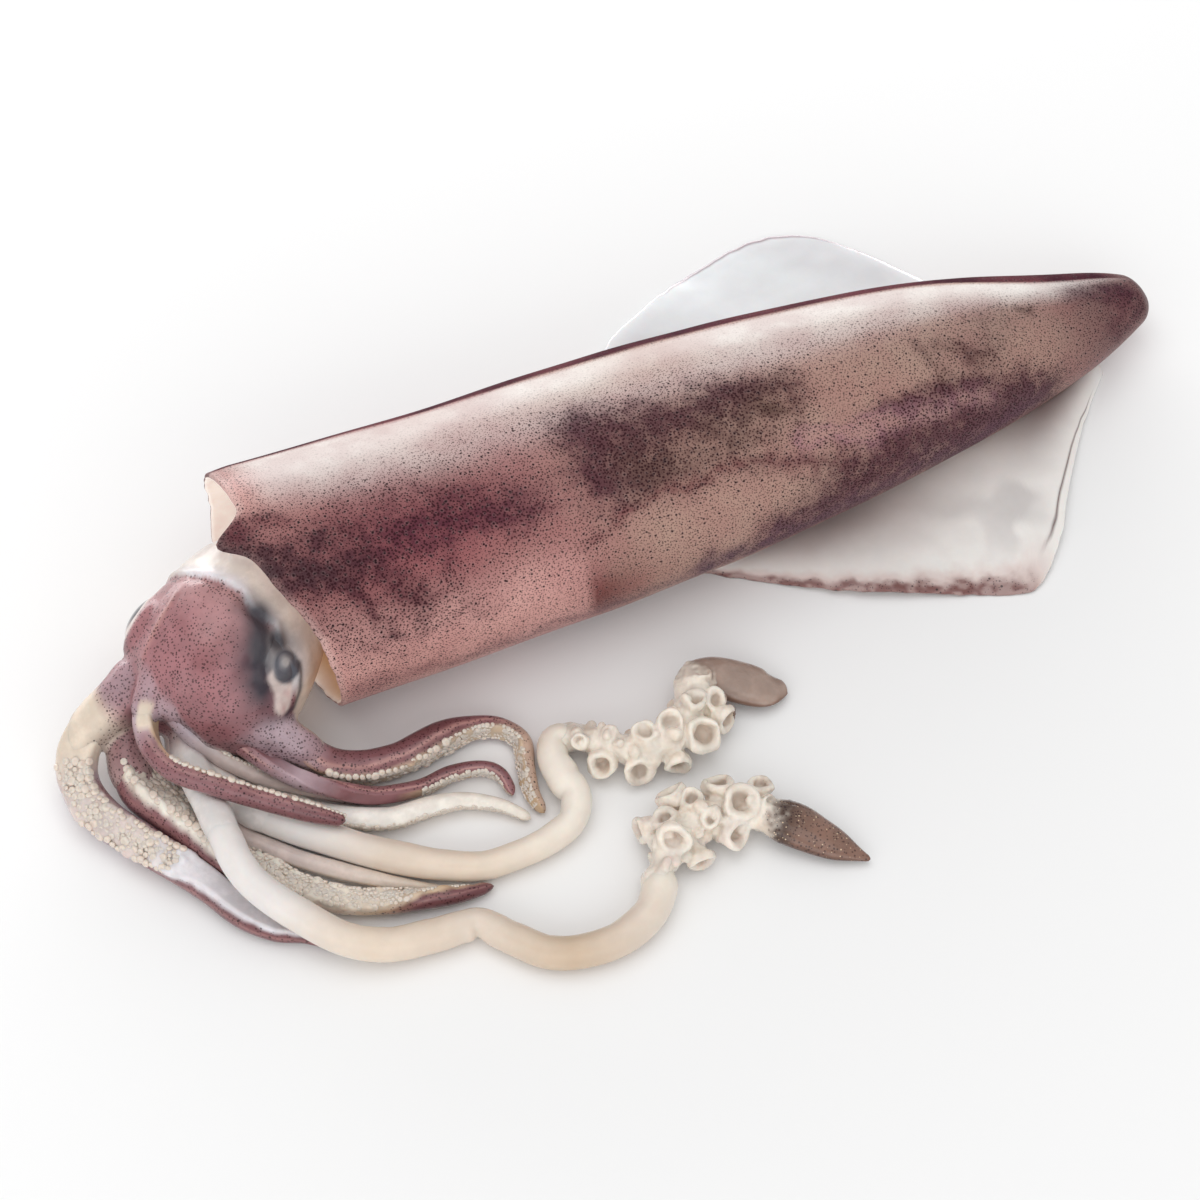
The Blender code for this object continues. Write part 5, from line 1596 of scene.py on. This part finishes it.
def add_studio():
    table = bpy.data.meshes.new("table")
    corners = [(x * TABLE_HALF, y * TABLE_HALF, 0) for x, y in ((-1, -1), (1, -1), (1, 1), (-1, 1))]
    table.from_pydata(corners, [], [(0, 1, 2, 3)])
    floor = new_object("table", table)
    paper = bpy.data.materials.new("pale paper")
    paper.use_nodes = True
    shader = paper.node_tree.nodes["Principled BSDF"]
    shader.inputs["Base Color"].default_value = (PAPER, PAPER, PAPER, 1.0)
    shader.inputs["Roughness"].default_value = 0.9
    table.materials.append(paper)
    world = bpy.data.worlds.new("soft room")
    world.use_nodes = True
    room = world.node_tree.nodes["Background"].inputs
    room["Color"].default_value = (1.0, 1.0, 1.0, 1.0)
    room["Strength"].default_value = ROOM_LIGHT
    bpy.context.scene.world = world
    for softbox in SOFTBOXES:
        add_softbox(*softbox)
    bpy.context.scene.view_settings.view_transform = "Standard"


# ---------------------------------------------------------------- the whole squid

ARM_FLESH = flesh_material("arm flesh")
HEAD_FLESH = flesh_material("head skin", roughness=0.38, coat=0.6, coat_roughness=0.2, spacing=0.0013)
STALK_FLESH = flesh_material("stalk flesh", roughness=0.4, coat=0.5, coat_roughness=0.2, soft=0.35,
                             grain=0.00001, fold_size=0.01, fold_depth=0.0002, cloudy=0.03)
CLUB_WET = dict(roughness=0.32, coat=0.9, coat_roughness=0.1, soft=0.3,
                grain=0.00012, fold_size=0.002, fold_depth=0.0003)
CLUB_FLESH = flesh_material("club flesh", **CLUB_WET)
# the near club's large dots are pale gold: painted glints on its leaf
NEAR_CLUB_FLESH = flesh_material("near club flesh", freckle=GOLD_GLINT, spacing=0.0009, **CLUB_WET)
FIN_FLESH = flesh_material("fin flesh", roughness=0.3, coat=0.9, coat_roughness=0.08, soft=0.2,
                           grain=0.00001, fold_size=0.016, fold_depth=0.0014, cloudy=0.02)
EYE_GLASS = flesh_material("eye", roughness=0.2, coat=1.0, coat_roughness=0.04, soft=0.0,
                           grain=0.0, fold_size=0.01, fold_depth=0.0)
BEAD_FLESH = sucker_material("arm suckers", BEAD_CREAM, BEAD_CREAM, BEAD_HOLLOW)

add_camera()
add_studio()
build_mantle()
build_fin("fin_far", 1, FAR_FIN_EDGE)
build_fin("fin_near", -1, NEAR_FIN_EDGE)
build_head()
build_eye("eye_near", NEAR_EYE, near_eye_colours)
build_eye("eye_far", FAR_EYE, far_eye_colours)
arm_beds = []
for arm_name, arm_route in ARM_ROUTES.items():
    build_arm(arm_name, arm_route, arm_beds)
for stalk_name, stalk_route in TENTACLE_ROUTES.items():
    build_stalk(stalk_name, stalk_route)
for club_name in CLUB_SECTIONS:
    build_club(club_name)
build_suckers("arm_suckers", arm_beds, BEAD_PROFILE, BEAD_SIDES, "arm_flesh", BEAD_FLESH, 3)
